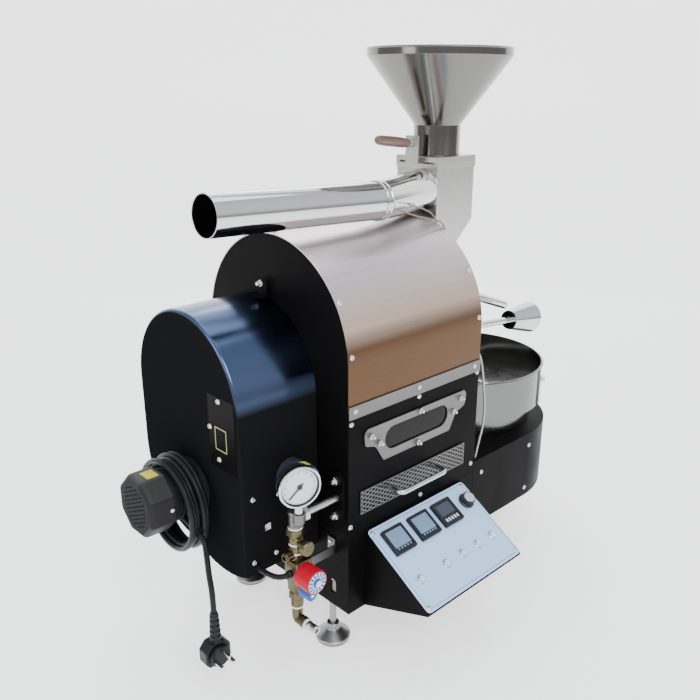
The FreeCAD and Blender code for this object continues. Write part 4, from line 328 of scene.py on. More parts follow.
def painted(name, colour, low, high, peel=900.0, strength=0.08, coat=0.0, dust_and_top_light=0.06,
            specular=0.5):
    """Powder coat or enamel with slight handling marks; upward faces are lightened by dust, and by
    a painted highlight where the amount is large.
    """
    made, shader = base_material(name, colour, coat=coat, specular=specular)
    coating = film(made, shader, "PowderCoat",
                   {"Peel": peel, "Low": low, "High": high, "Strength": strength})
    tinted(made, shader, coating["DustAndTopLight"], colour, [part + dust_and_top_light for part in colour])
    return made


def copper_material():
    """Brushed copper sheet with a painted reflection: its colour turns from bronze at the seam to
    lilac at the crest, standing in for the surroundings that the arched sheet reflects.
    """
    tone = colours()
    made, shader = base_material("copper_cover", tone.copper, metallic=1.0)
    tree = made.node_tree
    grain = film(made, shader, "BrushedGrain",
                 {"Scale": ALONG, "Low": 0.26, "High": 0.40, "Strength": 0.10})
    place = add(tree, "ShaderNodeTexCoord", pick="Object")
    height = add(tree, "ShaderNodeSeparateXYZ", {0: place}, "Z")
    # Painted reflection: the tint climbs with height from bronze through a pale middle to lilac at
    # the crest.
    climb = add(tree, "ShaderNodeMapRange",
                {"Value": height, "From Min": (ARCH_Z + 21.0) * MM,
                 "From Max": (ARCH_Z + 120.0) * MM})
    tint = ramp(tree, climb, ((0.0, tone.copper), (0.40, tone.copper_mid_reflection),
                              (1.0, tone.copper_crest_reflection)), "EASE")
    lines = add(tree, "ShaderNodeMix", {0: 0.35, 6: tint, 7: grain["Lines"]}, 2,
                data_type="RGBA", blend_type="MULTIPLY")
    tree.links.new(lines, shader.inputs["Base Color"])
    return made


def wood_material():
    """Turned hardwood: stretched rings and pores along the grip."""
    colour = colours().grip
    made, shader = base_material("grip_wood", colour, roughness=0.38, coat=0.35)
    tree = made.node_tree
    place = add(tree, "ShaderNodeTexCoord", pick="Object")
    stretch = add(tree, "ShaderNodeMapping", {"Vector": place, "Scale": (14.0, 150.0, 150.0)})
    rings = add(tree, "ShaderNodeTexNoise",
                {"Vector": stretch, "Scale": 1.6, "Detail": 8.0, "Distortion": 0.8})
    shade = ramp(tree, rings, ((0.34, [part * 0.7 for part in colour]),
                               (0.66, [part * 1.35 for part in colour])))
    tree.links.new(shade, shader.inputs["Base Color"])
    bump = add(tree, "ShaderNodeBump", {"Strength": 0.15, "Distance": 0.0002, "Height": rings})
    tree.links.new(bump, shader.inputs["Normal"])
    return made


def braid_material():
    """Steel braid: two crossed wave patterns along the cable's own length."""
    made, shader = base_material("probe_braid", (0.42, 0.42, 0.41), metallic=0.9, roughness=0.4)
    tree = made.node_tree
    place = add(tree, "ShaderNodeTexCoord", pick="Object")
    strands = {}
    for index, lean in enumerate((0.8, -0.8)):
        turn = add(tree, "ShaderNodeMapping", {"Vector": place, "Rotation": (0.0, lean, 0.0)})
        strands[index] = add(tree, "ShaderNodeTexWave", {"Vector": turn, "Scale": 260.0}, "Fac")
    weave = add(tree, "ShaderNodeMath", strands, operation="MAXIMUM")
    bump = add(tree, "ShaderNodeBump", {"Strength": 0.6, "Distance": 0.0004, "Height": weave})
    tree.links.new(bump, shader.inputs["Normal"])
    tinted(made, shader, weave, (0.16, 0.16, 0.16), (0.52, 0.52, 0.50))
    return made


def glass_material():
    """Clear heat-proof glass."""
    made, shader = base_material("heat_glass", (0.75, 0.8, 0.8), roughness=0.05)
    shader.inputs["Transmission Weight"].default_value = 0.85
    shader.inputs["IOR"].default_value = 1.45
    return made


def display_material(name, colour, glow):
    """A glossy screen that gives a faint light."""
    made, shader = base_material(name, colour, roughness=0.25, coat=0.4)
    shader.inputs["Emission Color"].default_value = (*colour, 1.0)
    shader.inputs["Emission Strength"].default_value = glow
    return made


def plain(name, colour, roughness, metallic=0.0, coat=0.0, strength=0.05, specular=0.5):
    """Moulded plastic, rubber or small metal parts with a fine surface texture."""
    made, shader = base_material(name, colour, metallic=metallic, coat=coat,
                                 specular=specular)
    texture = film(made, shader, "PowderCoat",
                   {"Peel": 1400.0, "Low": roughness * 0.85,
                    "High": min(1.0, roughness * 1.2), "Strength": strength})
    tinted(made, shader, texture["DustAndTopLight"], colour, [part * 1.15 + 0.002 for part in colour])
    return made


def hood_material():
    """Gloss black with a painted sky reflection: faces that look up turn blue and metallic."""
    colour = colours().hood
    made, shader = base_material("hood_black", colour, specular=0.0)
    tree = made.node_tree
    film(made, shader, "PowderCoat", {"Peel": 500.0, "Low": 0.16, "High": 0.24,
                                      "Strength": 0.03}, ["Roughness"])
    # Painted sky reflection: faces that look up get the blue tint and turn metallic.
    sky_facing = add(tree, "ShaderNodeMapRange",
                 {"Value": upward(tree), "From Min": 0.04, "From Max": 0.30})
    tree.links.new(sky_facing, shader.inputs["Metallic"])
    tinted(made, shader, sky_facing, colour, colours().sky_reflection)
    return made


def floor_material():
    """White studio sweep that gives back a little light of its own."""
    made, shader = base_material("stage_floor", (0.92, 0.92, 0.92), roughness=0.8,
                                 specular=0.1)
    film(made, shader, "PowderCoat", {"Peel": 60.0, "Low": 0.7, "High": 0.85,
                                      "Strength": 0.02}, ["Roughness"])
    shader.inputs["Emission Color"].default_value = (1.0, 1.0, 1.0, 1.0)
    shader.inputs["Emission Strength"].default_value = 1.1
    return made


MATERIALS = {}


def make_materials():
    """Every finish, by the short name that the pieces use."""
    tone = colours()
    MATERIALS.update({
        "casing": painted("casing_black", tone.paint, 0.34, 0.50, specular=0.03, dust_and_top_light=0.003),
        "hood": hood_material(),
        "can": painted("can_black", (0.030, 0.036, 0.052), 0.20, 0.30, coat=0.7, dust_and_top_light=0.0),
        "plate": painted("plate_black", tone.paint, 0.36, 0.52, specular=0.03, dust_and_top_light=0.003),
        "copper": copper_material(),
        "steel": brushed("brushed_steel", tone.steel, 0.26, 0.40),
        "strip": brushed("brushed_strip", [part * 0.30 for part in tone.steel], 0.34, 0.5),
        "steel_upright": brushed("brushed_upright", tone.steel, 0.24, 0.36, UPRIGHT),
        "tray": brushed("rolled_tray", (0.165, 0.165, 0.161), 0.12, 0.24, UPRIGHT,
                        strength=0.05),
        "polished": brushed("polished_steel", tone.polished, 0.06, 0.13, strength=0.02,
                            shade=0.93),
        "hopper": brushed("spun_steel", tone.spun, 0.10, 0.20, UPRIGHT, strength=0.03,
                          shade=0.9),
        "machined": brushed("machined_steel", (0.32, 0.32, 0.31), 0.25, 0.4),
        "dark_steel": brushed("drum_steel", (0.10, 0.095, 0.09), 0.35, 0.55, UPRIGHT),
        "zinc": plain("zinc_screws", (0.60, 0.60, 0.58), 0.24, metallic=1.0),
        "brass": brushed("turned_brass", tone.brass, 0.22, 0.36, strength=0.05),
        # The motor enamel's upward facets are lightened well beyond dust: a painted highlight of
        # the light from above.
        "motor": painted("motor_enamel", tone.motor, 0.36, 0.50, peel=700.0, dust_and_top_light=0.075,
                         specular=0.10),
        "motor_end": painted("motor_end", [part * 0.7 for part in tone.motor], 0.42, 0.55,
                             dust_and_top_light=0.0, specular=0.03),
        "motor_dark": painted("motor_dark", (0.010, 0.010, 0.012), 0.4, 0.55, dust_and_top_light=0.0,
                              specular=0.2),
        "red": plain("coil_red", tone.red, 0.40, specular=0.16),
        "wood": wood_material(),
        "panel": painted("panel_pale", tone.panel, 0.28, 0.40, peel=1600.0, strength=0.03,
                         coat=0.05, dust_and_top_light=0.0, specular=0.3),
        "plastic": plain("case_plastic", (0.010, 0.010, 0.013), 0.42, specular=0.3),
        "knob": plain("knob_plastic", (0.012, 0.012, 0.013), 0.35),
        "cap_silver": plain("knob_cap", (0.72, 0.73, 0.75), 0.22, metallic=1.0),
        "cap_white": plain("button_white", (0.60, 0.74, 0.92), 0.25, coat=0.5),
        "cord": plain("cord_rubber", (0.006, 0.006, 0.007), 0.40, strength=0.12, specular=0.2),
        "ptfe": plain("thread_tape", (0.80, 0.80, 0.78), 0.6, strength=0.3),
        "dial": plain("dial_white", (0.66, 0.72, 0.80), 0.4),
        "ink": plain("dial_ink", (0.01, 0.01, 0.01), 0.5),
        "braid": braid_material(),
        "glass": glass_material(),
        "smoked": base_material("window_glass", (0.008, 0.007, 0.006), roughness=0.14,
                                specular=0.1)[0],
        "lcd": display_material("pale_display", (0.15, 0.24, 0.37), 0.10),
        "dark_display": display_material("dark_display", (0.030, 0.038, 0.065), 0.0),
        "wire": plain("sensor_wire", (0.20, 0.14, 0.10), 0.5),
        "liner": plain("slot_liner", (0.26, 0.22, 0.18), 0.5),
        "label_yellow": plain("label_yellow", (0.56, 0.47, 0.0), 0.4),
        "label_green": plain("label_green", (0.52, 0.66, 0.14), 0.4),
        "label_pale": plain("label_pale", (0.36, 0.34, 0.13), 0.45),
        "print_blue": plain("print_blue", (0.02, 0.10, 0.40), 0.35, specular=0.2),
        "print_white": plain("print_white", (0.72, 0.76, 0.80), 0.35, coat=0.3),
        "floor": floor_material(),
    })


# ---------------------------------------------------------------- mesh helpers

def linked(name, data):
    """A new object in the scene."""
    made = bpy.data.objects.new(name, data)
    bpy.context.scene.collection.objects.link(made)
    return made


def settled(holder):
    """The plain mesh that a throwaway object comes to."""
    bpy.context.view_layer.update()
    ready = holder.evaluated_get(bpy.context.evaluated_depsgraph_get())
    mesh = bpy.data.meshes.new_from_object(ready)
    bpy.data.objects.remove(holder)
    return mesh


def shade_evenly(piece):
    """Weight the normals by face area, so that flat faces stay flat beside roundings."""
    fair = piece.modifiers.new("Shading", "WEIGHTED_NORMAL")
    fair.keep_sharp = True


def finish_piece(name, mesh, material, body="root", sharp=32.0, stands_for=()):
    """Turn a mesh into a piece that rides on a body, smooth except at its sharp edges."""
    mesh.name = name
    piece = linked(name, mesh)
    if not mesh.materials:
        mesh.materials.append(MATERIALS[material])
    for face in mesh.polygons:
        face.use_smooth = True
    mesh.set_sharp_from_angle(angle=math.radians(sharp))
    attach(piece, body)
    if stands_for:
        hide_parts(*stands_for)
    shade_evenly(piece)
    return piece


def solid(name, bm, material, body="root", bevel=0.0, steps=2, angle=28.0,
          stands_for=()):
    """Finish a shape as a piece, its edges rounded by bevel metres."""
    mesh = bm_to_mesh(bm, name, bevel, steps, angle)
    return finish_piece(name, mesh, material, body, stands_for=stands_for)


def blocks(name, boxes, material, bevel=0.0, steps=2, stands_for=()):
    """One piece of boxes, each between two corners in millimetres."""
    bm = bmesh.new()
    for low, high in boxes:
        prism_mesh(bm, rectangle(low, high), Matrix.Translation(ORIGIN), low[2], high[2])
    return solid(name, bm, material, "root", bevel, steps, stands_for=stands_for)


def rectangle(low, high, inset=0.0):
    """Corners of a rectangle from the lower left one round, moved in by the inset."""
    left, foot = low[0] + inset, low[1] + inset
    right, top = high[0] - inset, high[1] - inset
    return [(left, foot), (right, foot), (right, top), (left, top)]


def bridge(bm, rows, closed=True):
    """Faces between each row of vertices and the next."""
    for low, high in zip(rows, rows[1:]):
        for index in range(len(low) - (not closed)):
            after = (index + 1) % len(low)
            bm.faces.new([low[index], low[after], high[after], high[index]])


def bm_to_mesh(bm, name, bevel=0.0, steps=2, angle=28.0):
    """The mesh of a shape, welded, its edges over the angle rounded by bevel metres."""
    bmesh.ops.remove_doubles(bm, verts=bm.verts, dist=1e-6)
    bmesh.ops.recalc_face_normals(bm, faces=bm.faces)
    if bevel > 0:
        limit = math.radians(angle)
        edges = [edge for edge in bm.edges
                 if edge.is_manifold and edge.calc_face_angle(0.0) > limit]
        bmesh.ops.bevel(bm, geom=edges, offset=bevel, segments=steps, profile=0.5,
                        affect="EDGES", clamp_overlap=True)
    mesh = bpy.data.meshes.new(name)
    bm.to_mesh(mesh)
    bm.free()
    return mesh


def softened(points, radius, steps=3, closed=True):
    """The outline with its corners rounded; radius may be one number or one for each point."""
    count = len(points)
    radii = radius if hasattr(radius, "__len__") else [radius] * count
    out = []
    for index, point in enumerate(points):
        here = Vector(point)
        if radii[index] <= 0 or (not closed and index in (0, count - 1)):
            out.append(here)
            continue
        back = Vector(points[index - 1]) - here
        ahead = Vector(points[(index + 1) % count]) - here
        if back.length < 1e-9 or ahead.length < 1e-9:
            out.append(here)
            continue
        half = back.angle(ahead) / 2
        if half > math.radians(88):
            out.append(here)
            continue
        reach = min(radii[index] / math.tan(half), back.length * 0.48, ahead.length * 0.48)
        start = here + back.normalized() * reach
        end = here + ahead.normalized() * reach
        for step in range(steps + 1):
            share = step / steps
            out.append(start.lerp(here, share).lerp(here.lerp(end, share), share))
    return out


def arc(centre, radius, start, end, steps):
    """Points on an arc in the plane, angles in degrees."""
    out = []
    for step in range(steps + 1):
        angle = math.radians(start + (end - start) * step / steps)
        out.append(Vector((centre[0] + radius * math.cos(angle),
                           centre[1] + radius * math.sin(angle))))
    return out


def frame_along(centre, direction):
    """A matrix that takes local z to the direction and the origin to the centre."""
    turn = Z_AXIS.rotation_difference(Vector(direction).normalized()).to_matrix().to_4x4()
    return Matrix.Translation(centre) @ turn


def lathe(profile, matrix, facets, closed=True):
    """Turn a profile of (radius, height) in millimetres about the matrix's z axis."""
    bm = bmesh.new()
    rings = []
    for radius, height in profile:
        if radius < 1e-6:
            rings.append([bm.verts.new(matrix @ Vector((0, 0, height * MM)))])
            continue
        ring = []
        for index in range(facets):
            angle = 2 * math.pi * index / facets
            spot = Vector((radius * math.cos(angle), radius * math.sin(angle), height)) * MM
            ring.append(bm.verts.new(matrix @ spot))
        rings.append(ring)
    pairs = list(zip(rings, rings[1:]))
    if closed:
        pairs.append((rings[-1], rings[0]))
    for low, high in pairs:
        if len(low) == 1 and len(high) == 1:
            continue
        for index in range(facets):
            after = (index + 1) % facets
            corners = [low[index % len(low)], low[after % len(low)],
                       high[after % len(high)], high[index % len(high)]]
            unique = list(dict.fromkeys(corners))
            if len(unique) > 2:
                bm.faces.new(unique)
    return bm


def turned(name, profile, centre, direction, material, body="root", facets=64,
           soft=0.4, stands_for=()):
    """A turned piece; the profile's corners are rounded by soft millimetres."""
    path = softened(profile, [soft if point[0] > 0 else 0 for point in profile])
    bm = lathe(path, frame_along(centre, direction), facets)
    return finish_piece(name, bm_to_mesh(bm, name), material, body, 40.0, stands_for)


def turned_set(rows):
    """Turned pieces of one slot, at places in millimetres; a row may end in CAD nodes."""
    for name, material, spot, direction, facets, soft, profile, *nodes in rows:
        turned(name, profile, at(*spot), direction, material, facets=facets, soft=soft,
               stands_for=nodes)


def prism_mesh(bm, outline, matrix, low, high):
    """Close an outline (millimetres, in the matrix's xy plane) into a prism."""
    bottom, top = ([bm.verts.new(matrix @ Vector((p[0] * MM, p[1] * MM, level * MM)))
                    for p in outline] for level in (low, high))
    bm.faces.new(list(reversed(bottom)))
    bm.faces.new(top)
    bridge(bm, [bottom, top])


def prisms(name, outlines, matrix, low, high, material, body="root", bevel=0.0, steps=2,
           angle=28.0, stands_for=()):
    """One piece of prisms, one over each outline."""
    bm = bmesh.new()
    for outline in outlines:
        prism_mesh(bm, outline, matrix, low, high)
    return solid(name, bm, material, body, bevel, steps, angle, stands_for)


def facing_matrix(across, up, out, spot):
    """A drawing plane whose x, y and z run along the three directions, at a place."""
    return Matrix.Translation(spot) @ Matrix((across, up, out)).transposed().to_4x4()


def near_plane(offset):
    """Drawing plane that faces the near side."""
    return facing_matrix(X_AXIS, Z_AXIS, -Y_AXIS, at(0, offset, 0))


def front_plane(offset=0.0):
    """Drawing plane across the machine that faces the front."""
    return facing_matrix(Y_AXIS, Z_AXIS, X_AXIS, at(offset, 0, 0))


def rear_plane(x, y=0.0, z=0.0):
    """Drawing plane across the machine that faces the rear."""
    return facing_matrix(-Y_AXIS, Z_AXIS, -X_AXIS, at(x, y, z))


def plate(name, outline, holes, matrix, thick, material, body="root", bevel=0.4,
          stands_for=()):
    """A flat plate with holes, filled as a planar curve, with rounded edges."""
    curve = bpy.data.curves.new(name, "CURVE")
    curve.dimensions = "2D"
    curve.fill_mode = "BOTH"
    curve.extrude = (thick / 2 - bevel) * MM
    curve.bevel_depth = bevel * MM
    curve.bevel_resolution = 1
    curve.offset = -bevel * MM
    for ring in [outline] + list(holes):
        spline = curve.splines.new("POLY")
        spline.points.add(len(ring) - 1)
        for point, spot in zip(spline.points, ring):
            point.co = (spot[0] * MM, spot[1] * MM, 0.0, 1.0)
        spline.use_cyclic_u = True
    mesh = settled(linked(name, curve))
    mesh.transform(matrix @ Matrix.Translation((0, 0, thick / 2 * MM)))
    bm = bmesh.new()
    bm.from_mesh(mesh)
    return finish_piece(name, bm_to_mesh(bm, name), material, body, 30.0, stands_for)


def slot_ring(left, right, middle, radius, steps=12):
    """An obround outline that runs along x."""
    return (arc((right - radius, middle), radius, -90, 90, steps)
            + arc((left + radius, middle), radius, 90, 270, steps))


def dress(node, material, bevel=0.0004, sharp=30.0):
    """Give a CAD node its material, welded, with fine rounded edges and smooth curves."""
    piece = NODES[node]
    piece.data.materials.clear()
    piece.data.materials.append(MATERIALS[material])
    for face in piece.data.polygons:
        face.use_smooth = True
        face.material_index = 0
    weld = piece.modifiers.new("Weld", "WELD")
    weld.merge_threshold = 1e-5
    if bevel > 0:
        edge = piece.modifiers.new("Edges", "BEVEL")
        edge.width = bevel
        edge.segments = 2
        edge.limit_method = "ANGLE"
        edge.angle_limit = math.radians(sharp)
        edge.harden_normals = False
    shade_evenly(piece)


def dress_all(*rows):
    """Dress several CAD nodes; a row is a node, its material and its edge rounding."""
    for row in rows:
        dress(*row)


def rod_curve(name, points, radius, smooth, steps):
    """A round rod along a smooth curve through given control points."""
    curve = bpy.data.curves.new(name, "CURVE")
    curve.dimensions = "3D"
    curve.bevel_depth = radius * MM
    curve.bevel_resolution = smooth
    curve.use_fill_caps = True
    spline = curve.splines.new("NURBS")
    spline.points.add(len(points) - 1)
    for point, spot in zip(spline.points, points):
        point.co = (*at(*spot), 1.0)
    spline.order_u = 3
    spline.use_endpoint_u = True
    spline.resolution_u = steps
    return curve


def rod_piece(name, points, radius, material, body="root", sides=16, stands_for=()):
    """Such a rod as a finished piece."""
    mesh = settled(linked(name, rod_curve(name, points, radius, sides // 4, 12)))
    return finish_piece(name, mesh, material, body, stands_for=stands_for)


# ---------------------------------------------------------------- camera and stage

class ROASTER_OT_stage(bpy.types.Operator):
    """Camera, soft studio light and the pale floor"""
    bl_idname = "roaster.stage"
    bl_label = "Stage"

    def execute(self, context):
        make_camera()
        make_lights()
        make_floor()
        return {"FINISHED"}


def make_floor():
    """A wide sweep: flat floor, a bend and a rear wall, turned by an eighth."""
    reach, wall, rise, sweep = 6000.0, 3000.0, 4200.0, 900.0
    line = [(-reach, 0.0), (wall - sweep, 0.0)]
    line += [tuple(p) for p in arc((wall - sweep, sweep), sweep, -90, 0, 16)]
    line.append((wall, rise))
    turn = Matrix.Rotation(math.radians(45.0), 4, "Z")
    bm = bmesh.new()
    bridge(bm, [[bm.verts.new(turn @ (Vector((p[0], across, p[1])) * MM)) for p in line]
                for across in (-reach, reach)], False)
    mesh = bpy.data.meshes.new("floor")
    bm.to_mesh(mesh)
    bm.free()
    mesh.materials.append(MATERIALS["floor"])
    for face in mesh.polygons:
        face.use_smooth = True
    floor = linked("floor", mesh)


def make_camera():
    """The camera, on the near side behind the machine and a little above it."""
    data = bpy.data.cameras.new("camera")
    data.lens = 39.51
    data.sensor_width = 36.0
    data.shift_x = -0.0128
    data.shift_y = 0.0012
    data.clip_end = 50.0
    camera = linked("camera", data)
    right = Vector((0.7197, -0.6943, 0.0041)).normalized()
    forward = Vector((0.6566, 0.6787, -0.3291)).normalized()
    up = right.cross(forward).normalized()
    right = forward.cross(up).normalized()
    camera.matrix_world = facing_matrix(right, up, -forward, at(-736.7, -964.7, 934.5))
    bpy.context.scene.camera = camera


SKY = (
    (0.0, (0.42, 0.41, 0.40)),
    (0.06, (0.66, 0.65, 0.65)),
    (0.20, (0.92, 0.92, 0.94)),
    (0.60, (0.84, 0.86, 0.90)),
    (1.0, (0.54, 0.66, 0.82)),
)
LAMPS = (
    ("key", (-1.2, -2.4, 2.6), (2.2, 1.6), 70.0, (1.0, 1.0, 1.0)),
    ("side", (-3.0, 0.4, 1.7), (1.2, 2.0), 26.0, (0.95, 0.97, 1.0)),
    ("top", (0.3, 0.2, 3.4), (2.6, 2.6), 42.0, (1.0, 1.0, 1.0)),
    ("rim", (2.2, 2.2, 2.0), (1.6, 1.6), 30.0, (1.0, 1.0, 1.0)),
)
LAMP_TARGET = (0.0, 0.0, 0.5)


def area_light(name, spot, size, power, tint):
    """A soft box that looks at the machine."""
    data = bpy.data.lights.new(name, "AREA")
    data.shape = "RECTANGLE"
    data.size, data.size_y = size
    data.energy = power
    data.color = tint
    aim = (Vector(LAMP_TARGET) - Vector(spot)).to_track_quat("-Z", "Y")
    linked(name, data).matrix_world = Matrix.Translation(spot) @ aim.to_matrix().to_4x4()


def make_lights():
    """A sky that is bright overhead and dark at the horizon, and four soft boxes."""
    world = bpy.data.worlds.new("studio")
    bpy.context.scene.world = world
    world.use_nodes = True
    tree = world.node_tree
    sky = tree.nodes["Background"]
    sky.inputs["Strength"].default_value = 1.2
    place = add(tree, "ShaderNodeTexCoord", pick="Generated")
    height = add(tree, "ShaderNodeSeparateXYZ", {0: place}, "Z")
    tree.links.new(ramp(tree, height, SKY), sky.inputs["Color"])
    for lamp in LAMPS:
        area_light(*lamp)


# ---------------------------------------------------------------- casing

def arch_ring(half, low):
    """Outline of the arched casing in the YZ plane."""
    ring = [Vector((half, low))]
    ring += arc((0.0, ARCH_Z), half, 0, 180, 64)
    ring.append(Vector((-half, low)))
    return ring


class ROASTER_OT_casing(bpy.types.Operator):
    """Base frame, end plates, side panels, copper cover and seam strips"""
    bl_idname = "roaster.casing"
    bl_label = "Casing"

    def execute(self, context):
        dress_all(("base_frame", "casing", 0.0008), ("side_panels", "casing", 0.0008),
                  ("rear_plate", "plate", 0.0006), ("front_plate", "plate", 0.0006))
        copper_cover()
        seam_strips()
        return {"FINISHED"}


def copper_cover():
    """Arched sheet over the drum, 2 mm thick."""
    ring = arch_ring(BODY_HALF, SEAM_Z) + arch_ring(BODY_HALF - 2.0, SEAM_Z)[::-1]
    prisms("copper_arch", [ring], front_plane(), 0.0, BODY_LONG, "copper",
           "root", 0.0005, 2, 40.0, ["copper_cover"])


def seam_strips():
    """Bright strips over the cover's lower edges."""
    low, tall, thick = 445.4, 22.0, 2.5
    boxes = []
    for side in (-1, 1):
        face, out = sorted((side * BODY_HALF, side * (BODY_HALF + thick)))
        boxes.append(((0.0, face, low), (BODY_LONG, out, low + tall)))
    blocks("seam_strip_pair", boxes, "strip", 0.0007, 3, ["cover_strips"])


# ---------------------------------------------------------------- window and drawer

class ROASTER_OT_window(bpy.types.Operator):
    """Window frame, its glass and the perforated drawer front with the pull"""
    bl_idname = "roaster.window"
    bl_label = "Window and drawer"

    def execute(self, context):
        window_plate()
        drawer_front()
        # The drawer tray behind the mesh takes near-black paint: painted shade for the dark inside
        # of the drawer.
        dress_all(("window_glass", "smoked", 0.0), ("drawer_tray", "motor_dark", 0.0003))
        return {"FINISHED"}


def window_plate():
    """Shaped frame round the glass, held by hexagon nuts on studs."""
    left, right, thick = 79.0, 236.0, 3.0
    corners = [(left - 3, 353), (right + 6, 353), (right + 23, 383), (right + 47, 390.5),
               (right + 51, 412), (right + 44, 420), (left - 40, 420), (left - 47, 412),
               (left - 45, 390.5), (left - 22, 384)]
    radii = [5, 5, 14, 8, 8, 6, 6, 8, 8, 14]
    hole = slot_ring(left, right, 388.0, 20.0)
    plate("window_plate", softened(corners, radii, 5), [hole], near_plane(-BODY_HALF), thick,
          "strip", bevel=0.6, stands_for=["window_frame"])
    for index, (x, z) in enumerate(STUDS):
        hex_nut("window_nut_%d" % index, (x, -BODY_HALF - thick, z), -Y_AXIS, 5.2, 4.4)
        stud("window_stud_%d" % index, (x, -BODY_HALF - 7.0, z), -Y_AXIS, 2.5, 6.0)


STUDS = ((45.5, 406.0), (64.8, 388.5), (161.0, 416.0), (157.0, 358.6), (268.8, 408.0),
         (249.6, 388.0))


def hex_nut(name, spot, direction, radius, tall):
    """A chamfered hexagon nut."""
    profile = [(0, 0), (radius, 0), (radius, tall - 0.7), (radius - 0.8, tall), (0, tall)]
    turned_set([(name, "zinc", spot, direction, 6, 0.0, profile)])


def stud(name, spot, direction, radius, tall):
    """The threaded end of a bolt, with three grooves and a chamfer."""
    profile = [(0, 0), (radius, 0)]
    pitch = tall / 4
    for turn in range(3):
        base = pitch * (turn + 0.5)
        profile += [(radius, base), (radius - 0.3, base + pitch * 0.3),
                    (radius, base + pitch * 0.6)]
    profile += [(radius, tall - 0.5), (radius - 0.5, tall), (0, tall)]
    turned_set([(name, "zinc", spot, direction, 20, 0.0, profile)])


def drawer_front():
    """Bright expanded-metal front in a thin rim, and the bent rod pull."""
    low, high = (24.3, 272.0), (288.0, 314.0)
    field = rectangle(low, high, 1.6)
    matrix = near_plane(-BODY_HALF - 1.5)
    plate("drawer_rim", softened(rectangle(low, high), 1.2), [field], matrix, 1.8, "strip",
          "drawer", 0.3, stands_for=["drawer_front"])
    diamond_mesh("drawer_mesh", field[2][0] - field[0][0], field[2][1] - field[0][1],
                 matrix @ Matrix.Translation(Vector((*field[0], 0.4)) * MM))
    face = -BODY_HALF - 3.3
    out = face - 31.0
    bend = 20.0
    left, right, level = 88.0, 199.0, 300.0
    path = [(left, face), (left, out + bend), (left, out), (left + bend, out),
            (right - bend, out), (right, out), (right, out + bend), (right, face)]
    rod_piece("drawer_pull", [(x, y, level) for x, y in path], 4.5, "zinc",
              "drawer", 24)


def finish_tree(tree, geometry, material):
    """End a tree of geometry nodes in its material."""
    paint = add(tree, "GeometryNodeSetMaterial", {0: geometry, "Material": material})
    add(tree, "NodeGroupOutput", {0: paint}, None)
    return tree


def tile_tree(material):
    """Geometry nodes: repeat a holed tile on a grid of columns and rows."""
    tree, given = new_group(
        "PerforatedSheet",
        [("Geometry", "Geometry"), ("Columns", "Int"), ("Rows", "Int"), ("Pitch", "Float")],
        [("Geometry", "Geometry")], "Geometry")

    def reckon(operation, *values):
        return add(tree, "ShaderNodeMath", dict(enumerate(values)), operation=operation)
    index = add(tree, "GeometryNodeInputIndex")
    column = reckon("MODULO", index, given["Columns"])
    row = reckon("FLOOR", reckon("DIVIDE", index, given["Columns"]))
    cell = add(tree, "ShaderNodeCombineXYZ", {"X": column, "Y": row})
    place = add(tree, "ShaderNodeVectorMath", {0: cell, "Scale": given["Pitch"]},
                operation="SCALE")
    count = reckon("MULTIPLY", given["Columns"], given["Rows"])
    points = add(tree, "GeometryNodePoints", {"Count": count, "Position": place})
    copies = add(tree, "GeometryNodeInstanceOnPoints",
                 {"Points": points, "Instance": given["Geometry"]})
    real = add(tree, "GeometryNodeRealizeInstances", {0: copies})
    joined = add(tree, "GeometryNodeMergeByDistance", {0: real, "Distance": 1e-5})
    return finish_tree(tree, joined, material)


def run_nodes(name, mesh, tree, **values):
    """Evaluate a node tree on a mesh and hand back the plain result."""
    holder = linked(name, mesh)
    modifier = holder.modifiers.new("Nodes", "NODES")
    modifier.node_group = tree
    for item in tree.interface.items_tree:
        if item.item_type == "SOCKET" and item.in_out == "INPUT" and item.name in values:
            modifier[item.identifier] = values[item.name]
    return settled(holder)


def diamond_mesh(name, width, height, matrix):
    """Expanded metal: one cross of bars repeated on a grid, then fitted to the field."""
    thick = 1.2
    pitch = sizes().punch_pitch / MM
    half = pitch / 2
    edge = sizes().punch_bar / MM * 0.75
    cross = [(0, 0), (edge, 0), (half, half - edge), (pitch - edge, 0), (pitch, 0),
             (pitch, edge), (half + edge, half), (pitch, pitch - edge), (pitch, pitch),
             (pitch - edge, pitch), (half, half + edge), (edge, pitch), (0, pitch),
             (0, pitch - edge), (half - edge, half), (0, edge)]
    bm = bmesh.new()
    low, high = ([bm.verts.new(Vector((p[0], p[1], level)) * MM) for p in cross]
                 for level in (0.0, thick))
    bm.faces.new(high)
    bm.faces.new(list(reversed(low)))
    for corner in range(0, len(cross), 4):
        bridge(bm, [row[corner + 1:corner + 4] for row in (low, high)], False)
    tile = bpy.data.meshes.new(name)
    bm.to_mesh(tile)
    bm.free()
    columns = round(width / pitch)
    rows = round(height / (pitch * sizes().punch_squash))
    mesh = run_nodes(name, tile, tile_tree(MATERIALS["strip"]), Columns=columns, Rows=rows,
                     Pitch=pitch * MM)
    mesh.transform(matrix @ Matrix.Diagonal((width / (columns * pitch),
                                             height / (rows * pitch), 1.0, 1.0)))
    finish_piece(name, mesh, "strip", "drawer")


# ---------------------------------------------------------------- drive end

def hood_ring(inset):
    """Outline of the drive hood in the YZ plane."""
    centre_y = 36.0
    radius = 141.5
    near = centre_y - radius + inset
    far = centre_y + radius - inset
    arch_z = 464.0
    turn_z = 345.0
    steps = 40
    corner = Vector((near, 195.0 + inset))
    foot = Vector((centre_y, turn_z - radius + inset))
    chord = foot - corner
    belly = 149.0
    rise = math.sqrt(belly ** 2 - chord.length ** 2 / 4)
    normal = Vector((-chord.y, chord.x)).normalized()
    middle = (foot + corner) / 2 + normal * rise
    start = math.degrees(math.atan2(corner.y - middle.y, corner.x - middle.x))
    end = math.degrees(math.atan2(foot.y - middle.y, foot.x - middle.x))
    ring = arc(middle, belly, start, end, steps // 2)
    ring += arc((centre_y, turn_z), radius - inset, -90, 0, steps // 2)[1:]
    ring += arc((centre_y, arch_z), far - centre_y, 0, 180, steps)
    return ring


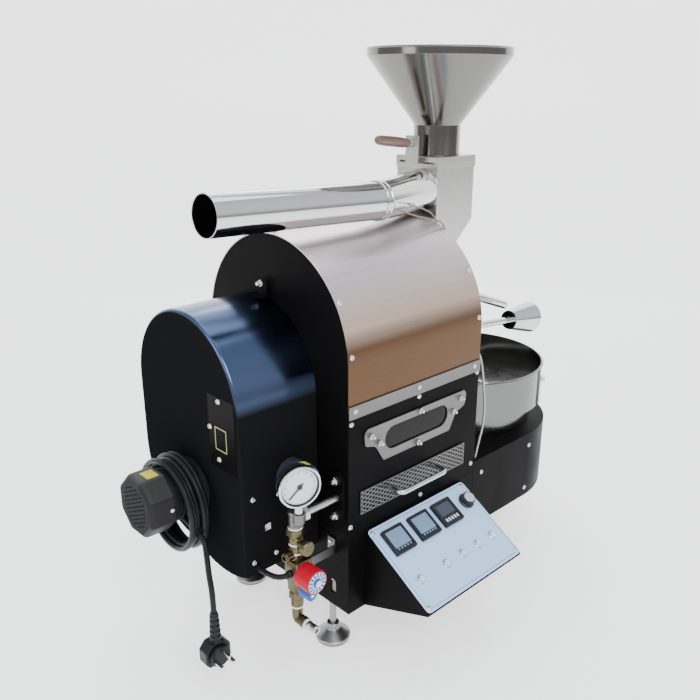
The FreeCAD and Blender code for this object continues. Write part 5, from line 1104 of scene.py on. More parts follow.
class ROASTER_OT_drive(bpy.types.Operator):
    """Drive hood, gear motor, fan cap and the side motor"""
    bl_idname = "roaster.drive"
    bl_label = "Drive end"

    def execute(self, context):
        drive_hood()
        rating_plate()
        gear_motor()
        fan_cap()
        side_motor()
        for node in ("drum_sprocket", "motor_sprocket", "drum_shaft", "drum_bearings"):
            dress(node, "machined", 0.0003)
        for node in ("drive_chain", "drum", "burner"):
            dress(node, "dark_steel", 0.0)
        return {"FINISHED"}


def drive_hood():
    """Sheet hood with a rounded rear edge, open towards the casing."""
    edge, wall, steps = 5.0, 2.0, 5
    layout = [(-DRIVE_DEEP + wall, wall), (0.0, wall), (0.0, 0.0)]
    for step in range(steps + 1):
        angle = math.pi / 2 * step / steps
        layout.append((-DRIVE_DEEP + edge * (1 - math.sin(angle)),
                       edge * (1 - math.cos(angle))))
    bm = bmesh.new()
    matrix = front_plane()
    rows = [[bm.verts.new(matrix @ Vector((p[0] * MM, p[1] * MM, x * MM)))
             for p in hood_ring(inset)] for x, inset in layout]
    bridge(bm, rows)
    bm.faces.new(rows[-1])
    bm.faces.new(rows[0])
    solid("drive_hood", bm, "hood", stands_for=["drive_cover"])


def gear_motor():
    """Round motor body with a flange and seven cooling grooves."""
    centre = at(-DRIVE_DEEP, MOTOR_Y, MOTOR_Z)
    long = 64.0
    profile = [(0, 0), (MOTOR_R + 3, 0), (MOTOR_R + 3, 8), (MOTOR_R, 8)]
    fins = 7
    pitch = (long - 18.0) / fins
    for fin in range(fins):
        base = 11.0 + fin * pitch
        profile += [(MOTOR_R, base), (MOTOR_R - 3.5, base), (MOTOR_R - 3.5, base + pitch * 0.6),
                    (MOTOR_R, base + pitch * 0.6)]
    profile += [(MOTOR_R, long), (0, long)]
    turned("gear_motor_can", profile, centre, -X_AXIS, "motor_dark", facets=96,
           soft=0.5, stands_for=["gear_motor"])


def rating_plate():
    """Bare dark plate with a thin printed frame on the hood's rear face."""
    matrix = rear_plane(-DRIVE_DEEP)
    plate("rating_plate", softened(rectangle((30, 372), (98, 492)), 3.0), [], matrix, 1.0,
          "plate", bevel=0.25)
    low, high, line = (46, 403), (76, 441), 1.6
    plate("rating_frame", softened(rectangle(low, high), 1.0), [rectangle(low, high, line)],
          matrix @ Matrix.Translation((0, 0, 1.0 * MM)), 0.2, "label_pale",
          bevel=0.04)


def octagon(flats, chamfer):
    """An upright octagon of a width across flats, with rounded corners."""
    radius = flats / 2 / math.cos(math.pi / 8)
    angles = [math.pi / 8 + turn * math.pi / 4 for turn in range(8)]
    return softened([(radius * math.cos(angle), radius * math.sin(angle)) for angle in angles],
                    chamfer, 4)


FAN_CAP_RINGS = (
    (-0.9, 84.0, 7.0), (0.0, 88.0, 8.0), (-2.0, 93.0, 9.0), (-6.0, 97.2, 10.0),
    (-10.0, 98.0, 10.0), (-42.0, 98.0, 10.0), (-42.0, 95.0, 9.0), (-6.0, 94.0, 9.0),
    (-2.6, 84.0, 7.0),
)


def fan_cap():
    """Eight-sided cap with a punched end, its skirt, a bare label and a screw on its flat."""
    rear = -DRIVE_DEEP - 64.0 - 42.0
    pitch, field, slot_half, slot_r = 7.2, 35.0, 2.3, 1.5
    holes = []
    for column in range(-5, 6):
        for row in range(-5, 6):
            spot = (column * pitch, row * pitch + (pitch / 2 if column % 2 else 0.0))
            if math.hypot(*spot) <= field:
                holes.append(slot_ring(spot[0] - slot_half, spot[0] + slot_half, spot[1],
                                       slot_r, 4))
    matrix = rear_plane(rear, MOTOR_Y, MOTOR_Z)
    plate("fan_cap_grille", octagon(86.0, 7.0), holes,
          Matrix.Translation(X_AXIS * 2.0 * MM) @ matrix, 1.6, "motor_end",
          bevel=0.3)
    bm = bmesh.new()
    rows = [[bm.verts.new(matrix @ (Vector((p[0], p[1], depth)) * MM))
             for p in octagon(flats, round_r)] for depth, flats, round_r in FAN_CAP_RINGS]
    bridge(bm, rows + rows[:1])
    solid("fan_cap_skirt", bm, "motor", stands_for=["motor_fan_cap"])
    flat = Matrix.Translation(at(rear + 27.0, MOTOR_Y - 4.0, MOTOR_Z + 48.95))
    plate("cap_label", softened(rectangle((-10, -13), (10, 13)), 1.0), [], flat, 0.3,
          "label_yellow", bevel=0.05)
    stud("cap_screw", (rear + 37.0, MOTOR_Y - 48.8, MOTOR_Z), -Y_AXIS, 3.2, 1.2)


def side_motor():
    """Black can on the hood's near wall, with its joint ring and a bare sticker."""
    spot = (SIDE_MOTOR_X, HOOD_NEAR, SIDE_MOTOR_Z)
    profile = [(0, 0), (24, 0), (24, 3), (28, 3), (28, 21), (26.8, 21.4), (26.8, 23), (28, 23.4),
               (28, 42), (25, 46), (9, 46), (9, 44.5), (0, 44.5)]
    turned_set([("side_motor_can", "can", spot, -Y_AXIS, 72, 0.4, profile,
                                "side_motor")])
    wrapped_label("motor_sticker", at(*spot), -Y_AXIS, 28.0, (62.0, 104.0), (27.0, 40.0),
                  "label_green")


def wrapped_label(name, centre, heading, radius, angles, span, material):
    """A thin label round part of a can; angles from the machine's x axis towards up."""
    bm = bmesh.new()
    steps = 12
    rows = []
    for lift in (0.05, 0.3):
        for reach in span:
            row = []
            for step in range(steps + 1):
                angle = math.radians(angles[0] + (angles[1] - angles[0]) * step / steps)
                out = X_AXIS * math.cos(angle) + Z_AXIS * math.sin(angle)
                row.append(bm.verts.new(centre + (out * (radius + lift) + heading * reach) * MM))
            rows.append(row)
    for low, high in ((2, 3), (1, 0), (0, 2), (3, 1)):
        bridge(bm, [rows[low], rows[high]], False)
    for end in (0, steps):
        bm.faces.new([rows[0][end], rows[1][end], rows[3][end], rows[2][end]])
    solid(name, bm, material)


# ---------------------------------------------------------------- gas train

class ROASTER_OT_gas(bpy.types.Operator):
    """Pressure gauge, gas tube, brass valve, solenoid and its cable"""
    bl_idname = "roaster.gas"
    bl_label = "Gas train"

    def execute(self, context):
        gauge()
        gas_manifold()
        hand_valve()
        solenoid()
        gas_outlet()
        return {"FINISHED"}


def gauge():
    """Case, bright bezel, gasket, dial with ticks, and the stem."""
    turn = Matrix.Rotation(math.radians(-GAUGE_TURN), 4, "Z")
    face = turn @ -Y_AXIS
    spot = (GAS_X, GAS_Y, GAUGE_Z)
    case = [(0, 0), (29, 0), (31, 3), (31, 17), (31.4, 17), (31.4, 21), (0, 21)]
    bezel = [(31.2, 17), (33.6, 17), (34, 17.6), (34, 24.4), (32.6, 26), (30.6, 25.6),
             (30.6, 21.6), (31.2, 21.6)]
    gasket = [(28.6, 21.2), (30.8, 21.2), (30.8, 24.2), (28.6, 22.6)]
    dial = [(0, 21.0), (29.9, 21.0), (29.9, 21.5), (0, 21.5)]
    stem = [(0, 0), (7, 0), (7, 18), (0, 18)]
    turned_set([
        ("gauge_shell", "plastic", spot, face, 96, 0.4, case, "gauge_case"),
        ("gauge_bezel", "polished", spot, face, 96, 0.4, bezel),
        ("gauge_gasket", "plastic", spot, face, 96, 0, gasket),
        ("gauge_dial", "dial", spot, face, 96, 0, dial),
    ])
    turned_set([
        ("gauge_stem", "steel", (GAS_X, GAS_Y - 9, GAS_Z + 13), Z_AXIS, 32, 0.4, stem),
    ])
    tick_ring(Matrix.Translation(at(*spot)) @ turn
              @ facing_matrix(X_AXIS, Z_AXIS, -Y_AXIS, Vector()))
    dress("gauge_needle", "ink", 0.0)


def gas_manifold():
    """Black flange with two bolts, the gas tube, the cast tee and the valve's bracket."""
    tall = [(p[1], p[0]) for p in slot_ring(GAS_Z - 45.0, GAS_Z + 45.0, GAS_Y, 15.0)]
    plate("gas_flange", list(reversed(tall)), [], front_plane(-6.0), 6.0, "casing",
          bevel=0.8, stands_for=["gas_manifold"])
    for tag, rise in (("low", -31.5), ("high", 31.5)):
        hex_nut("flange_nut_" + tag, (-6.0, GAS_Y, GAS_Z + rise), -X_AXIS, 7.2, 6.0)
        stud("flange_stud_" + tag, (-11.5, GAS_Y, GAS_Z + rise), -X_AXIS, 3.9, 6.0)
    tube = [(0, 0), (6, 0), (6, 74), (7.2, 74), (7.2, 77), (0, 77)]
    union = [(0, 0), (11, 0), (12.3, 1.2), (12.3, 9.5), (11, 10.5), (0, 10.5)]
    branch = [(0, 0), (10.6, 0), (11.4, 1.5), (11.4, 6), (9.8, 8), (9.8, 12), (0, 12)]
    body = [(0, -16), (11.2, -16), (11.2, -11), (10.2, -9), (10.2, 6), (11.2, 8), (11.2, 13),
            (0, 13)]
    nose = [(0, -8), (7, -8), (9.5, -5), (9.5, 12), (0, 12)]
    turned_set([
        ("gas_tube", "steel", (-6, GAS_Y, GAS_Z), -X_AXIS, 40, 0.4, tube),
        ("gas_union", "steel", (-69, GAS_Y, GAS_Z), -X_AXIS, 6, 0.2, union),
        ("gas_tee_branch", "strip", (-79, GAS_Y, GAS_Z), -X_AXIS, 40, 0.6, branch),
        ("gas_tee_body", "strip", (GAS_X, GAS_Y, GAS_Z), Z_AXIS, 48, 0.8, body),
        ("gas_tee_nose", "strip", (GAS_X, GAS_Y - 9, GAS_Z), Z_AXIS, 40, 0.8, nose),
    ])
    strap = GAS_Y + 9.0
    low = VALVE_Z - 18.0
    blocks("valve_bracket", [((GAS_X + 18.0, strap, low), (0.0, strap + 3.0, low + 16.0)),
                             ((-3.0, strap, low), (0.0, strap + 17.0, low + 28.0))],
           "strip", 0.0005)
    stud("bracket_screw", (-3.0, strap + 10.0, VALVE_Z + 2.0), -X_AXIS, 3.0, 2.4)


def tape(radius, long):
    """Profile of a few turns of thread tape that stand out of a joint."""
    return [(0, 0), (radius - 0.5, 0), (radius, long * 0.3), (radius - 0.3, long * 0.55),
            (radius, long * 0.8), (radius - 0.6, long), (0, long)]


def hand_valve():
    """Brass hand valve: hexagons, barrel, side port and the round handle."""
    top = GAS_Z - 16.0
    axis = (GAS_X, GAS_Y, top)
    hub = (GAS_X, GAS_Y, VALVE_Z + 50.0)
    hexagon = [(0, 1.6), (13, 1.6), (14.6, 3), (14.6, 13.4), (13, 14.8), (0, 14.8)]
    barrel = [(0, 14), (11, 14), (11, 17), (12, 18), (12, 26), (10.4, 27.5), (10.4, 33),
              (12, 34.5), (12, 41), (10.8, 42), (10.8, 56), (0, 56)]
    port = [(0, 8), (8, 8), (8, 21), (7.4, 22), (6.2, 22), (6.2, 24), (4.2, 24), (4.2, 14),
            (0, 14)]
    stem = [(0, 8), (6, 8), (6, 20), (5, 21), (5, 22.5), (0, 22.5)]
    disc = [(0, 22), (11.4, 22), (12.4, 23), (12.4, 30), (11, 31.6), (3.4, 31.8), (3.0, 31.0),
            (0, 31.0)]
    turned_set([
        ("tape_tee", "ptfe", (GAS_X, GAS_Y, top + 1.0), -Z_AXIS, 36, 0.2, tape(11.6, 2.6)),
        ("valve_hexagon", "brass", axis, -Z_AXIS, 6, 0.2, hexagon, "brass_fittings"),
        ("valve_barrel", "brass", axis, -Z_AXIS, 48, 0.5, barrel),
        ("tape_barrel", "ptfe", (GAS_X, GAS_Y, top - 27.6), -Z_AXIS, 36, 0.2, tape(11.4, 2.4)),
        ("tape_lower", "ptfe", (GAS_X, GAS_Y, top - 42.4), -Z_AXIS, 36, 0.2, tape(12.0, 2.8)),
        ("valve_port", "brass", (GAS_X, GAS_Y, VALVE_Z + 30.0), -X_AXIS, 40, 0.3, port),
        ("valve_stem", "brass", hub, -Y_AXIS, 36, 0.4, stem),
        ("valve_handle", "brass", hub, -Y_AXIS, 48, 0.8, disc),
    ])


def solenoid():
    """Solenoid: brass block, red coil with its printed face and nut, small pilot below."""
    back = GAS_Y - 17.0
    front = back - 32.8
    blocks("solenoid_block", [((GAS_X - 13.0, back - 1.0, VALVE_Z - 21.0),
                               (GAS_X + 18.0, GAS_Y + 14.0, VALVE_Z + 21.0)),
                              ((GAS_X - 10.0, back - 1.0, VALVE_Z - 40.0),
                               (GAS_X + 10.0, GAS_Y + 12.0, VALVE_Z - 20.0))],
           "brass", 0.003, 3, ["solenoid_valve"])
    coil = [(0, 0), (19, 0), (20, 1), (20, 14), (19.5, 14.3), (19.5, 15.2), (20, 15.5),
            (20, 32), (18.6, 33.4), (17.8, 33.4), (17.8, 32.8), (0, 32.8)]
    entry = [(0, 10), (6.4, 10), (6.4, 15), (5.4, 17), (5.4, 20.5), (0, 20.5)]
    printed = [(0, 0), (17.4, 0), (17.4, 0.3), (0, 0.3)]
    washer = [(0, 0.2), (8.0, 0.2), (8.0, 1.0), (0, 1.0)]
    pilot = [(0, 0), (9, 0), (10, 1), (10, 20.6), (9, 21.6), (0, 21.6)]
    face = (GAS_X, front, VALVE_Z)
    level = VALVE_Z - 29.5
    turned_set([
        ("solenoid_coil", "red", (GAS_X, back, VALVE_Z), -Y_AXIS, 72, 0.5, coil),
        ("solenoid_entry", "plastic", (GAS_X, GAS_Y + 1.0, VALVE_Z - 4.0), -X_AXIS, 32, 0.6,
         entry),
        ("coil_face", "print_white", face, -Y_AXIS, 72, 0, printed),
        ("coil_washer", "print_blue", face, -Y_AXIS, 40, 0.1, washer),
        ("pilot_body", "print_blue", (GAS_X, back, level), -Y_AXIS, 48, 0.5, pilot),
    ])
    petals("coil_print", face, 17.0, 9.0, 14)
    hex_nut("coil_nut", (GAS_X, front - 1.0, VALVE_Z), -Y_AXIS, 6.5, 3.4)
    hex_nut("pilot_nut", (GAS_X, back - 21.4, level), -Y_AXIS, 4.2, 0.6)


def petals(name, centre, outer, inner, count):
    """Blue printed sectors round the coil's face."""
    step = 360.0 / count
    rings = [arc((0, 0), outer, start, start + step * 0.6, 4)
             + arc((0, 0), inner, start + step * 0.6, start, 2)
             for start in (step * index for index in range(count))]
    prisms(name, rings, facing_matrix(X_AXIS, Z_AXIS, -Y_AXIS, at(*centre)), 0.3, 0.4,
           "print_blue")


def gas_outlet():
    """Nipple under the solenoid, elbow and the bright outlet towards the near side."""
    under = (GAS_X, GAS_Y, VALVE_Z - 40.0)
    level = VALVE_Z - 91.0
    front = (GAS_X, GAS_Y - 14.0, level)
    nipple = [(0, -2), (11, -2), (13.2, 0.5), (13.2, 10.6), (12, 12), (0, 12)]
    collar = [(0, 11), (10.4, 11), (10.4, 25), (9.6, 26), (0, 26)]
    ring = [(0, 0), (9.5, 0), (9.5, 8), (8.6, 9), (0, 9)]
    tip = [(0, 12), (7.5, 12), (7.5, 18), (7.0, 20), (7.5, 22), (7.5, 31), (6.6, 33),
           (4.0, 33), (4.0, 24), (0, 24)]
    turned_set([
        ("outlet_hexagon", "brass", under, -Z_AXIS, 6, 0.2, nipple),
        ("outlet_collar", "brass", under, -Z_AXIS, 40, 0.5, collar),
        ("tape_nipple", "ptfe", (GAS_X, GAS_Y, VALVE_Z - 65.8), -Z_AXIS, 36, 0.2,
         tape(10.2, 3.0)),
        ("outlet_ring", "brass", front, -Y_AXIS, 40, 0.5, ring),
        ("tape_outlet", "ptfe", (GAS_X, GAS_Y - 22.8, level), -Y_AXIS, 36, 0.2,
         tape(9.2, 3.4)),
        ("outlet_tip", "zinc", front, -Y_AXIS, 40, 0.4, tip),
    ])
    bend = [(GAS_X, GAS_Y, VALVE_Z - 68.0), (GAS_X, GAS_Y, level + 9.0),
            (GAS_X, GAS_Y - 1.0, level), (GAS_X, GAS_Y - 12.0, level),
            (GAS_X, GAS_Y - 23.0, level)]
    rod_piece("outlet_elbow", bend, 9.0, "brass", sides=24)


def tick_ring(matrix):
    """Fine and coarse ticks over three quarters of the dial."""
    steps, sweep, outer = 50, 270, 26.2
    ticks = []
    for index in range(steps + 1):
        angle = math.radians(225 - sweep * index / steps)
        inner, wide = (21.5, 0.42) if index % 5 == 0 else (24.2, 0.2)
        out = Vector((math.cos(angle), math.sin(angle)))
        side = Vector((-out.y, out.x)) * wide
        ticks.append([out * inner - side, out * inner + side, out * outer + side,
                      out * outer - side])
    prisms("gauge_ticks", ticks, matrix, 21.5, 21.65, "ink")


# ---------------------------------------------------------------- beans in

class ROASTER_OT_feed(bpy.types.Operator):
    """Hopper, gate, chute and the exhaust pipe"""
    bl_idname = "roaster.feed"
    bl_label = "Feed and exhaust"

    def execute(self, context):
        hopper()
        exhaust_pipe()
        loose_wires()
        dress_all(("chute", "steel_upright", 0.0008), ("chute_cap", "steel", 0.0006),
                  ("slide_gate", "steel", 0.0004))
        wooden_grip()
        return {"FINISHED"}


def hopper():
    """Funnel with a straight neck, a short upright wall and a rolled rim."""
    neck = 43.0
    rim = 132.0
    wall = 1.5
    cone_low = 54.0
    cone_high = 172.0
    top = 186.0
    profile = [(neck - wall, 0), (neck, 0), (neck, cone_low), (rim, cone_high), (rim, top - 3),
               (rim + 1.5, top - 1.5), (rim, top), (rim - wall, top), (rim - wall, cone_high + 0.6),
               (neck - wall, cone_low + 0.6)]
    turned("hopper_funnel", profile, at(GATE_X, 0, CAP_TOP), Z_AXIS, "hopper",
           facets=sizes().facets, soft=0.7, stands_for=["hopper"])


def exhaust_pipe():
    """Straight tube, a double bead, and the oblique cone at the chute."""
    start, joint, mouth = at(*PIPE_END), at(*PIPE_JOINT), at(*PIPE_MOUTH)
    heading = joint - start
    long = heading.length / MM
    outer, wide, spare = 31.75, 37.5, 14.0
    facets = sizes().facets
    pipe = [(outer - 1.5, 0), (outer, 0), (outer, long + 4), (outer - 1.5, long + 4)]
    turned("exhaust_tube", pipe, start, heading, "polished", facets=facets,
           soft=0.3, stands_for=["exhaust_pipe"])
    bead = [(outer - 0.2, -7), (outer + 1.4, -7), (outer + 2.2, -5.4), (outer + 1.0, -3),
            (outer + 1.0, 3), (outer + 2.2, 5), (outer + 1.4, 7), (outer - 0.2, 7)]
    turned("exhaust_bead", bead, joint, heading, "polished", facets=facets,
           soft=0.5)
    lean = mouth - joint
    reach = lean.length / MM
    far = wide + (wide - outer - 1.5) / reach * spare
    adapter = [(outer - 1.0, 2), (outer + 1.5, 2), (far, reach + spare),
               (far - 1.5, reach + spare)]
    bm = lathe(adapter, frame_along(joint, lean), facets)
    bmesh.ops.bisect_plane(bm, geom=bm.verts[:] + bm.edges[:] + bm.faces[:], plane_co=mouth,
                           plane_no=X_AXIS, clear_outer=True)
    finish_piece("exhaust_adapter", bm_to_mesh(bm, "exhaust_adapter"), "polished",
                 sharp=40.0)


def loose_wires():
    """Two thin thermocouple wires from under the pipe's joint to the front plate."""
    for tag, route in (("long", WIRE_LONG), ("short", WIRE_SHORT)):
        rod_piece("sensor_wire_" + tag, route, 1.4, "wire", sides=8)


WIRE_LONG = (
    (206.0, -83.0, 735.0),
    (240.0, -90.0, 722.0),
    (280.0, -88.0, 712.0),
    (312.0, -84.0, 705.0),
    (328.0, -84.0, 694.0),
    (331.0, -86.0, 668.0),
)
WIRE_SHORT = (
    (228.0, -84.0, 742.0),
    (262.0, -80.0, 733.0),
    (296.0, -72.0, 722.0),
    (316.0, -66.0, 712.0),
    (327.0, -66.0, 700.0),
    (330.0, -68.0, 672.0),
)


def wooden_grip():
    """Turned grip of the slide gate, with its ferrule."""
    rise = math.radians(6.5)
    heading = Vector((-math.cos(rise), 0, math.sin(rise)))
    start = at(326.3, 0, 832.0)
    ferrule = [(0, -0.2), (6.9, -0.2), (6.9, 9), (0, 9)]
    turned("grip_ferrule", ferrule, start, heading, "steel", "gate", facets=40)
    profile = [(0, 9), (7.6, 9), (8.8, 24), (9.2, 46), (9.0, 70), (8.6, 82), (7.0, 89),
               (3.6, 91.6), (0, 92)]
    turned("grip_turning", profile, start, heading, "wood", "gate", facets=48,
           soft=4.0, stands_for=["gate_handle"])


# ---------------------------------------------------------------- beans out

class ROASTER_OT_discharge(bpy.types.Operator):
    """Discharge door, its lever and counterweight, the sampler and the sight window"""
    bl_idname = "roaster.discharge"
    bl_label = "Discharge end"

    def execute(self, context):
        dress_all(("discharge_door", "plate", 0.0006), ("door_lever", "polished", 0.0006),
                  ("trier", "polished", 0.0004), ("sight_window", "glass", 0.0))
        return {"FINISHED"}


# ---------------------------------------------------------------- cooling

class ROASTER_OT_cooling(bpy.types.Operator):
    """Cooling base, tray, perforated floor, stirrer, motors, fan and outlet gate"""
    bl_idname = "roaster.cooling"
    bl_label = "Cooling"

    def execute(self, context):
        dress_all(("cooling_base", "casing", 0.001, 40.0), ("cooling_tray", "tray", 0.0006, 40.0),
                  ("tray_floor", "steel", 0.0), ("stirrer", "steel", 0.0005),
                  ("stirrer_motor", "motor", 0.0005), ("cooling_fan", "plastic", 0.0),
                  ("tray_gate", "steel", 0.0004))
        return {"FINISHED"}


# ---------------------------------------------------------------- controls

class ROASTER_OT_controls(bpy.types.Operator):
    """Control box, panel, controllers, knob and push buttons"""
    bl_idname = "roaster.controls"
    bl_label = "Controls"

    def execute(self, context):
        dress("control_box", "casing", 0.0008)
        panel_sheet()
        for index, left in enumerate(METER_LEFT):
            controller(index, left)
        for index, along in enumerate(BUTTON_AT, 1):
            push_button(index, along)
        burner_knob()
        return {"FINISHED"}


def panel_sheet():
    """Pale sheet with a fine printed border and openings for what it carries."""
    low, high = (0, -PANEL_DOWN), (PANEL_LONG, 0)
    thick = 2.5
    holes = [rectangle(*meter_corners(left), 2) for left in METER_LEFT]
    holes += [[tuple(p) for p in arc((along, -BUTTON_DOWN), 7.7, 0, 345, 23)]
              for along in BUTTON_AT]
    plate("panel_sheet", softened(rectangle(low, high), 7.0), holes,
          panel_matrix() @ Matrix.Translation((0, 0, -thick * MM)), thick, "panel",
          bevel=0.4, stands_for=["control_panel"])
    rings = [softened(rectangle(low, high, gap), 5.0) for gap in (4.2, 4.9)]
    plate("panel_border", rings[0], [rings[1]], panel_matrix(), 0.12, "motor",
          bevel=0.02)


def meter_corners(left):
    """Lower left and upper right corner of a meter."""
    low = -METER_DOWN - METER_SIDE
    return (left, low), (left + METER_SIDE, low + METER_SIDE)


def controller(index, left):
    """Square meter: bezel, recessed display and a row of keys along its lower edge."""
    if index < 2:
        rim, base, tall, screen, shade = 4.5, 11.5, 3.2, "lcd", "lcd"
    else:
        rim, base, tall, screen, shade = 5.5, 19.0, 6.5, "dark_display", "cap_white"
    low, high = meter_corners(left)
    matrix = panel_matrix()
    inner = rectangle(low, high, rim)
    name = "controller_%d" % (index + 1)
    plate(name + "_bezel", softened(rectangle(low, high), 2.5), [softened(inner, 1.5)], matrix,
          7.0, "plastic", bevel=0.8,
          stands_for=["panel_instruments"] if index == 0 else [])
    pane = rectangle((low[0] + rim + 1, low[1] + base), (high[0] - rim - 1, high[1] - rim - 1))
    keys = []
    for key in range(5):
        x, foot = low[0] + 10 + key * (METER_SIDE - 20) / 4, low[1] + 7
        keys.append(softened(rectangle((x - 1.7, foot), (x + 1.7, foot + tall)), 0.8))
    for part, outlines, back, front, finish in (
            ("_body", [inner], -20.0, 5.4, "plastic"),
            ("_display", [softened(pane, 1.2)], 5.2, 5.9, screen),
            ("_keys", keys, 5.2, 6.4, shade)):
        prisms(name + part, outlines, matrix, back, front, finish)


def push_button(index, along):
    """White cap in a bright ring."""
    centre = panel_point(along, BUTTON_DOWN)
    outward = panel_outward()
    ring = [(5.8, 0), (8.75, 0), (8.75, 1.6), (7.6, 2.5), (6.2, 2.5), (5.8, 1.8)]
    turned("button_ring_%d" % index, ring, centre, outward, "cap_silver",
           facets=48, soft=0.3)
    cap = [(0, -7), (5.5, -7), (5.5, 4), (4.6, 4.9), (0, 5.0)]
    turned("button_cap_%d" % index, cap, centre, outward, "cap_white",
           "button_%d" % index, 40, 0.3, stands_for=["button_%d" % index])


def burner_knob():
    """Fluted black knob with a bright cap, and the dots of its scale."""
    centre = panel_point(*KNOB_AT)
    outward = panel_outward()
    skirt = [(0, -8), (4, -8), (4, 0.3), (14.6, 0.3), (15, 0.8), (15, 3.4), (13.2, 4.6), (0, 4.6)]
    turned("knob_skirt", skirt, centre, outward, "knob", "knob", 56, 0.4,
           stands_for=["knob"])
    steps = 96
    ring = []
    for step in range(steps):
        radius = 12.2 - (0.7 if step % 4 == 0 else 0.0)
        angle = 2 * math.pi * step / steps
        ring.append((radius * math.cos(angle), radius * math.sin(angle)))
    prisms("knob_grip", [ring], frame_along(centre, outward), 4.0, 14.4, "knob",
           "knob", 0.0003, 1, 60.0)
    cap = [(0, 14), (10.2, 14), (10.2, 14.7), (9.6, 15), (0, 15)]
    turned("knob_disc", cap, centre, outward, "cap_silver", "knob", 40, 0.1)
    dots = []
    for step in range(11):
        angle = math.radians(225 - 27 * step)
        spot = Vector(KNOB_AT) + Vector((math.cos(angle), -math.sin(angle))) * 18.5
        dots.append(arc((spot.x, -spot.y), 0.7, 0, 330, 11))
    prisms("knob_scale", dots, panel_matrix(), 0.02, 0.12, "motor")


# ---------------------------------------------------------------- feet and screws

class ROASTER_OT_feet(bpy.types.Operator):
    """Levelling feet and the screws of the casing"""
    bl_idname = "roaster.feet"
    bl_label = "Feet and screws"

    def execute(self, context):
        feet()
        screws()
        small_fittings()
        return {"FINISHED"}


def feet():
    """Pad, sole, stem and nut of each levelling foot."""
    pad = [(0, 2.6), (30, 2.6), (30.75, 3.4), (30.75, 8), (29.6, 9.2), (13, 21), (11.6, 23),
           (11.6, 31), (10.4, 32.5), (0, 32.5)]
    sole = [(0, 0), (28, 0), (29.6, 0.6), (29.6, 3), (0, 3)]
    stem = [(0, 24), (6, 24), (6, 102.5), (0, 102.5)]
    nut = [(6.0, 80.5), (11, 80.5), (11, 88.4), (6.0, 88.4)]
    for x in (18.0, BODY_LONG - 18.0):
        for y in (-121.4, 121.4):
            tag = "_%d_%d" % (x > 100, y > 0)
            spot = (x, y, 0)
            nodes = ["feet"] if tag == "_0_0" else []
            turned_set([
                ("foot_pad" + tag, "machined", spot, Z_AXIS, 64, 1.0, pad, *nodes),
                ("foot_sole" + tag, "cord", spot, Z_AXIS, 64, 0.4, sole),
                ("foot_stem" + tag, "machined", spot, Z_AXIS, 32, 0.4, stem),
                ("foot_nut" + tag, "zinc", spot, Z_AXIS, 6, 0.0, nut),
            ])


def screw_spots():
    """Where the button heads sit and which way they face."""
    spots = []
    for x in (12.5, 159.5, 307.0):
        for side in (-1, 1):
            spots.append((at(x, side * (BODY_HALF + 2.5), 458.0), Y_AXIS * side))
    for x, z in ((6, 437), (162, 440), (318, 443), (4, 256), (173, 250.5), (314, 261)):
        for side in (-1, 1):
            spots.append((at(x, side * BODY_HALF, z), Y_AXIS * side))
    for x in (8.0, BODY_LONG - 8.0):
        for angle in (5, 32, 60, 90, 120, 148, 175):
            turn = math.radians(angle)
            out = Vector((0, -math.cos(turn), math.sin(turn)))
            spots.append((at(x, out.y * BODY_HALF, ARCH_Z + out.z * BODY_HALF), out))
    for x, z in ((-131, 329), (-81, 320), (-89.6, 217), (-133, 217)):
        spots.append((at(x, HOOD_NEAR, z), -Y_AXIS))
    for x, z in ((350, 229.5), (509, 233), (504, 137)):
        for side in (-1, 1):
            spots.append((at(x, side * BODY_HALF, z), Y_AXIS * side))
    for y, z in ((-59.0, 484.5), (-33.0, 436.0), (-54.0, 386.6)):
        spots.append((at(-DRIVE_DEEP - 1.0, y, z), -X_AXIS))
    outward = panel_outward()
    for along in (7.0, PANEL_LONG - 7.0):
        for down in (7.5, PANEL_DOWN - 7.5):
            spots.append((panel_point(along, down), outward))
    return spots


def small_fittings():
    """Hex bolt with its clip on the end plate, and the bright square nut on the hood."""
    blocks("plate_clip", [((-8.0, 4.0, 606.0), (-6.0, 25.0, 636.0)),
                          ((-20.0, 4.0, 606.0), (-6.0, 25.0, 608.0))],
           "plate", 0.0006)
    hex_nut("clip_nut", (-8.0, 14.8, 628.4), -X_AXIS, 6.2, 5.0)
    stud("clip_stud", (-12.0, 14.8, 628.4), -X_AXIS, 3.4, 7.0)
    blocks("square_nut", [((-112.0, HOOD_NEAR - 3.0, 266.4), (-100.0, HOOD_NEAR, 278.4))],
           "zinc", 0.0008)
    blocks("slot_liner", [((3.0, -149.0, 114.0), (5.0, -137.0, 139.0))], "liner",
           0.0006)


def screw_tree(material):
    """Geometry nodes: put a head on every point, turned by the point's stored direction."""
    tree, given = new_group(
        "ScrewHeads", [("Geometry", "Geometry"), ("Head", "Object"), ("Size", "Float")],
        [("Geometry", "Geometry")], "Geometry")
    points = add(tree, "GeometryNodeMeshToPoints", {"Mesh": given["Geometry"]})
    head = add(tree, "GeometryNodeObjectInfo", {"Object": given["Head"]}, "Geometry")
    way = add(tree, "GeometryNodeInputNamedAttribute", {"Name": "out"}, "Attribute",
              data_type="FLOAT_VECTOR")
    turn = add(tree, "FunctionNodeAlignRotationToVector", {"Vector": way}, axis="Z")
    copies = add(tree, "GeometryNodeInstanceOnPoints",
                 {"Points": points, "Instance": head, "Rotation": turn, "Scale": given["Size"]})
    real = add(tree, "GeometryNodeRealizeInstances", {0: copies})
    return finish_tree(tree, real, material)


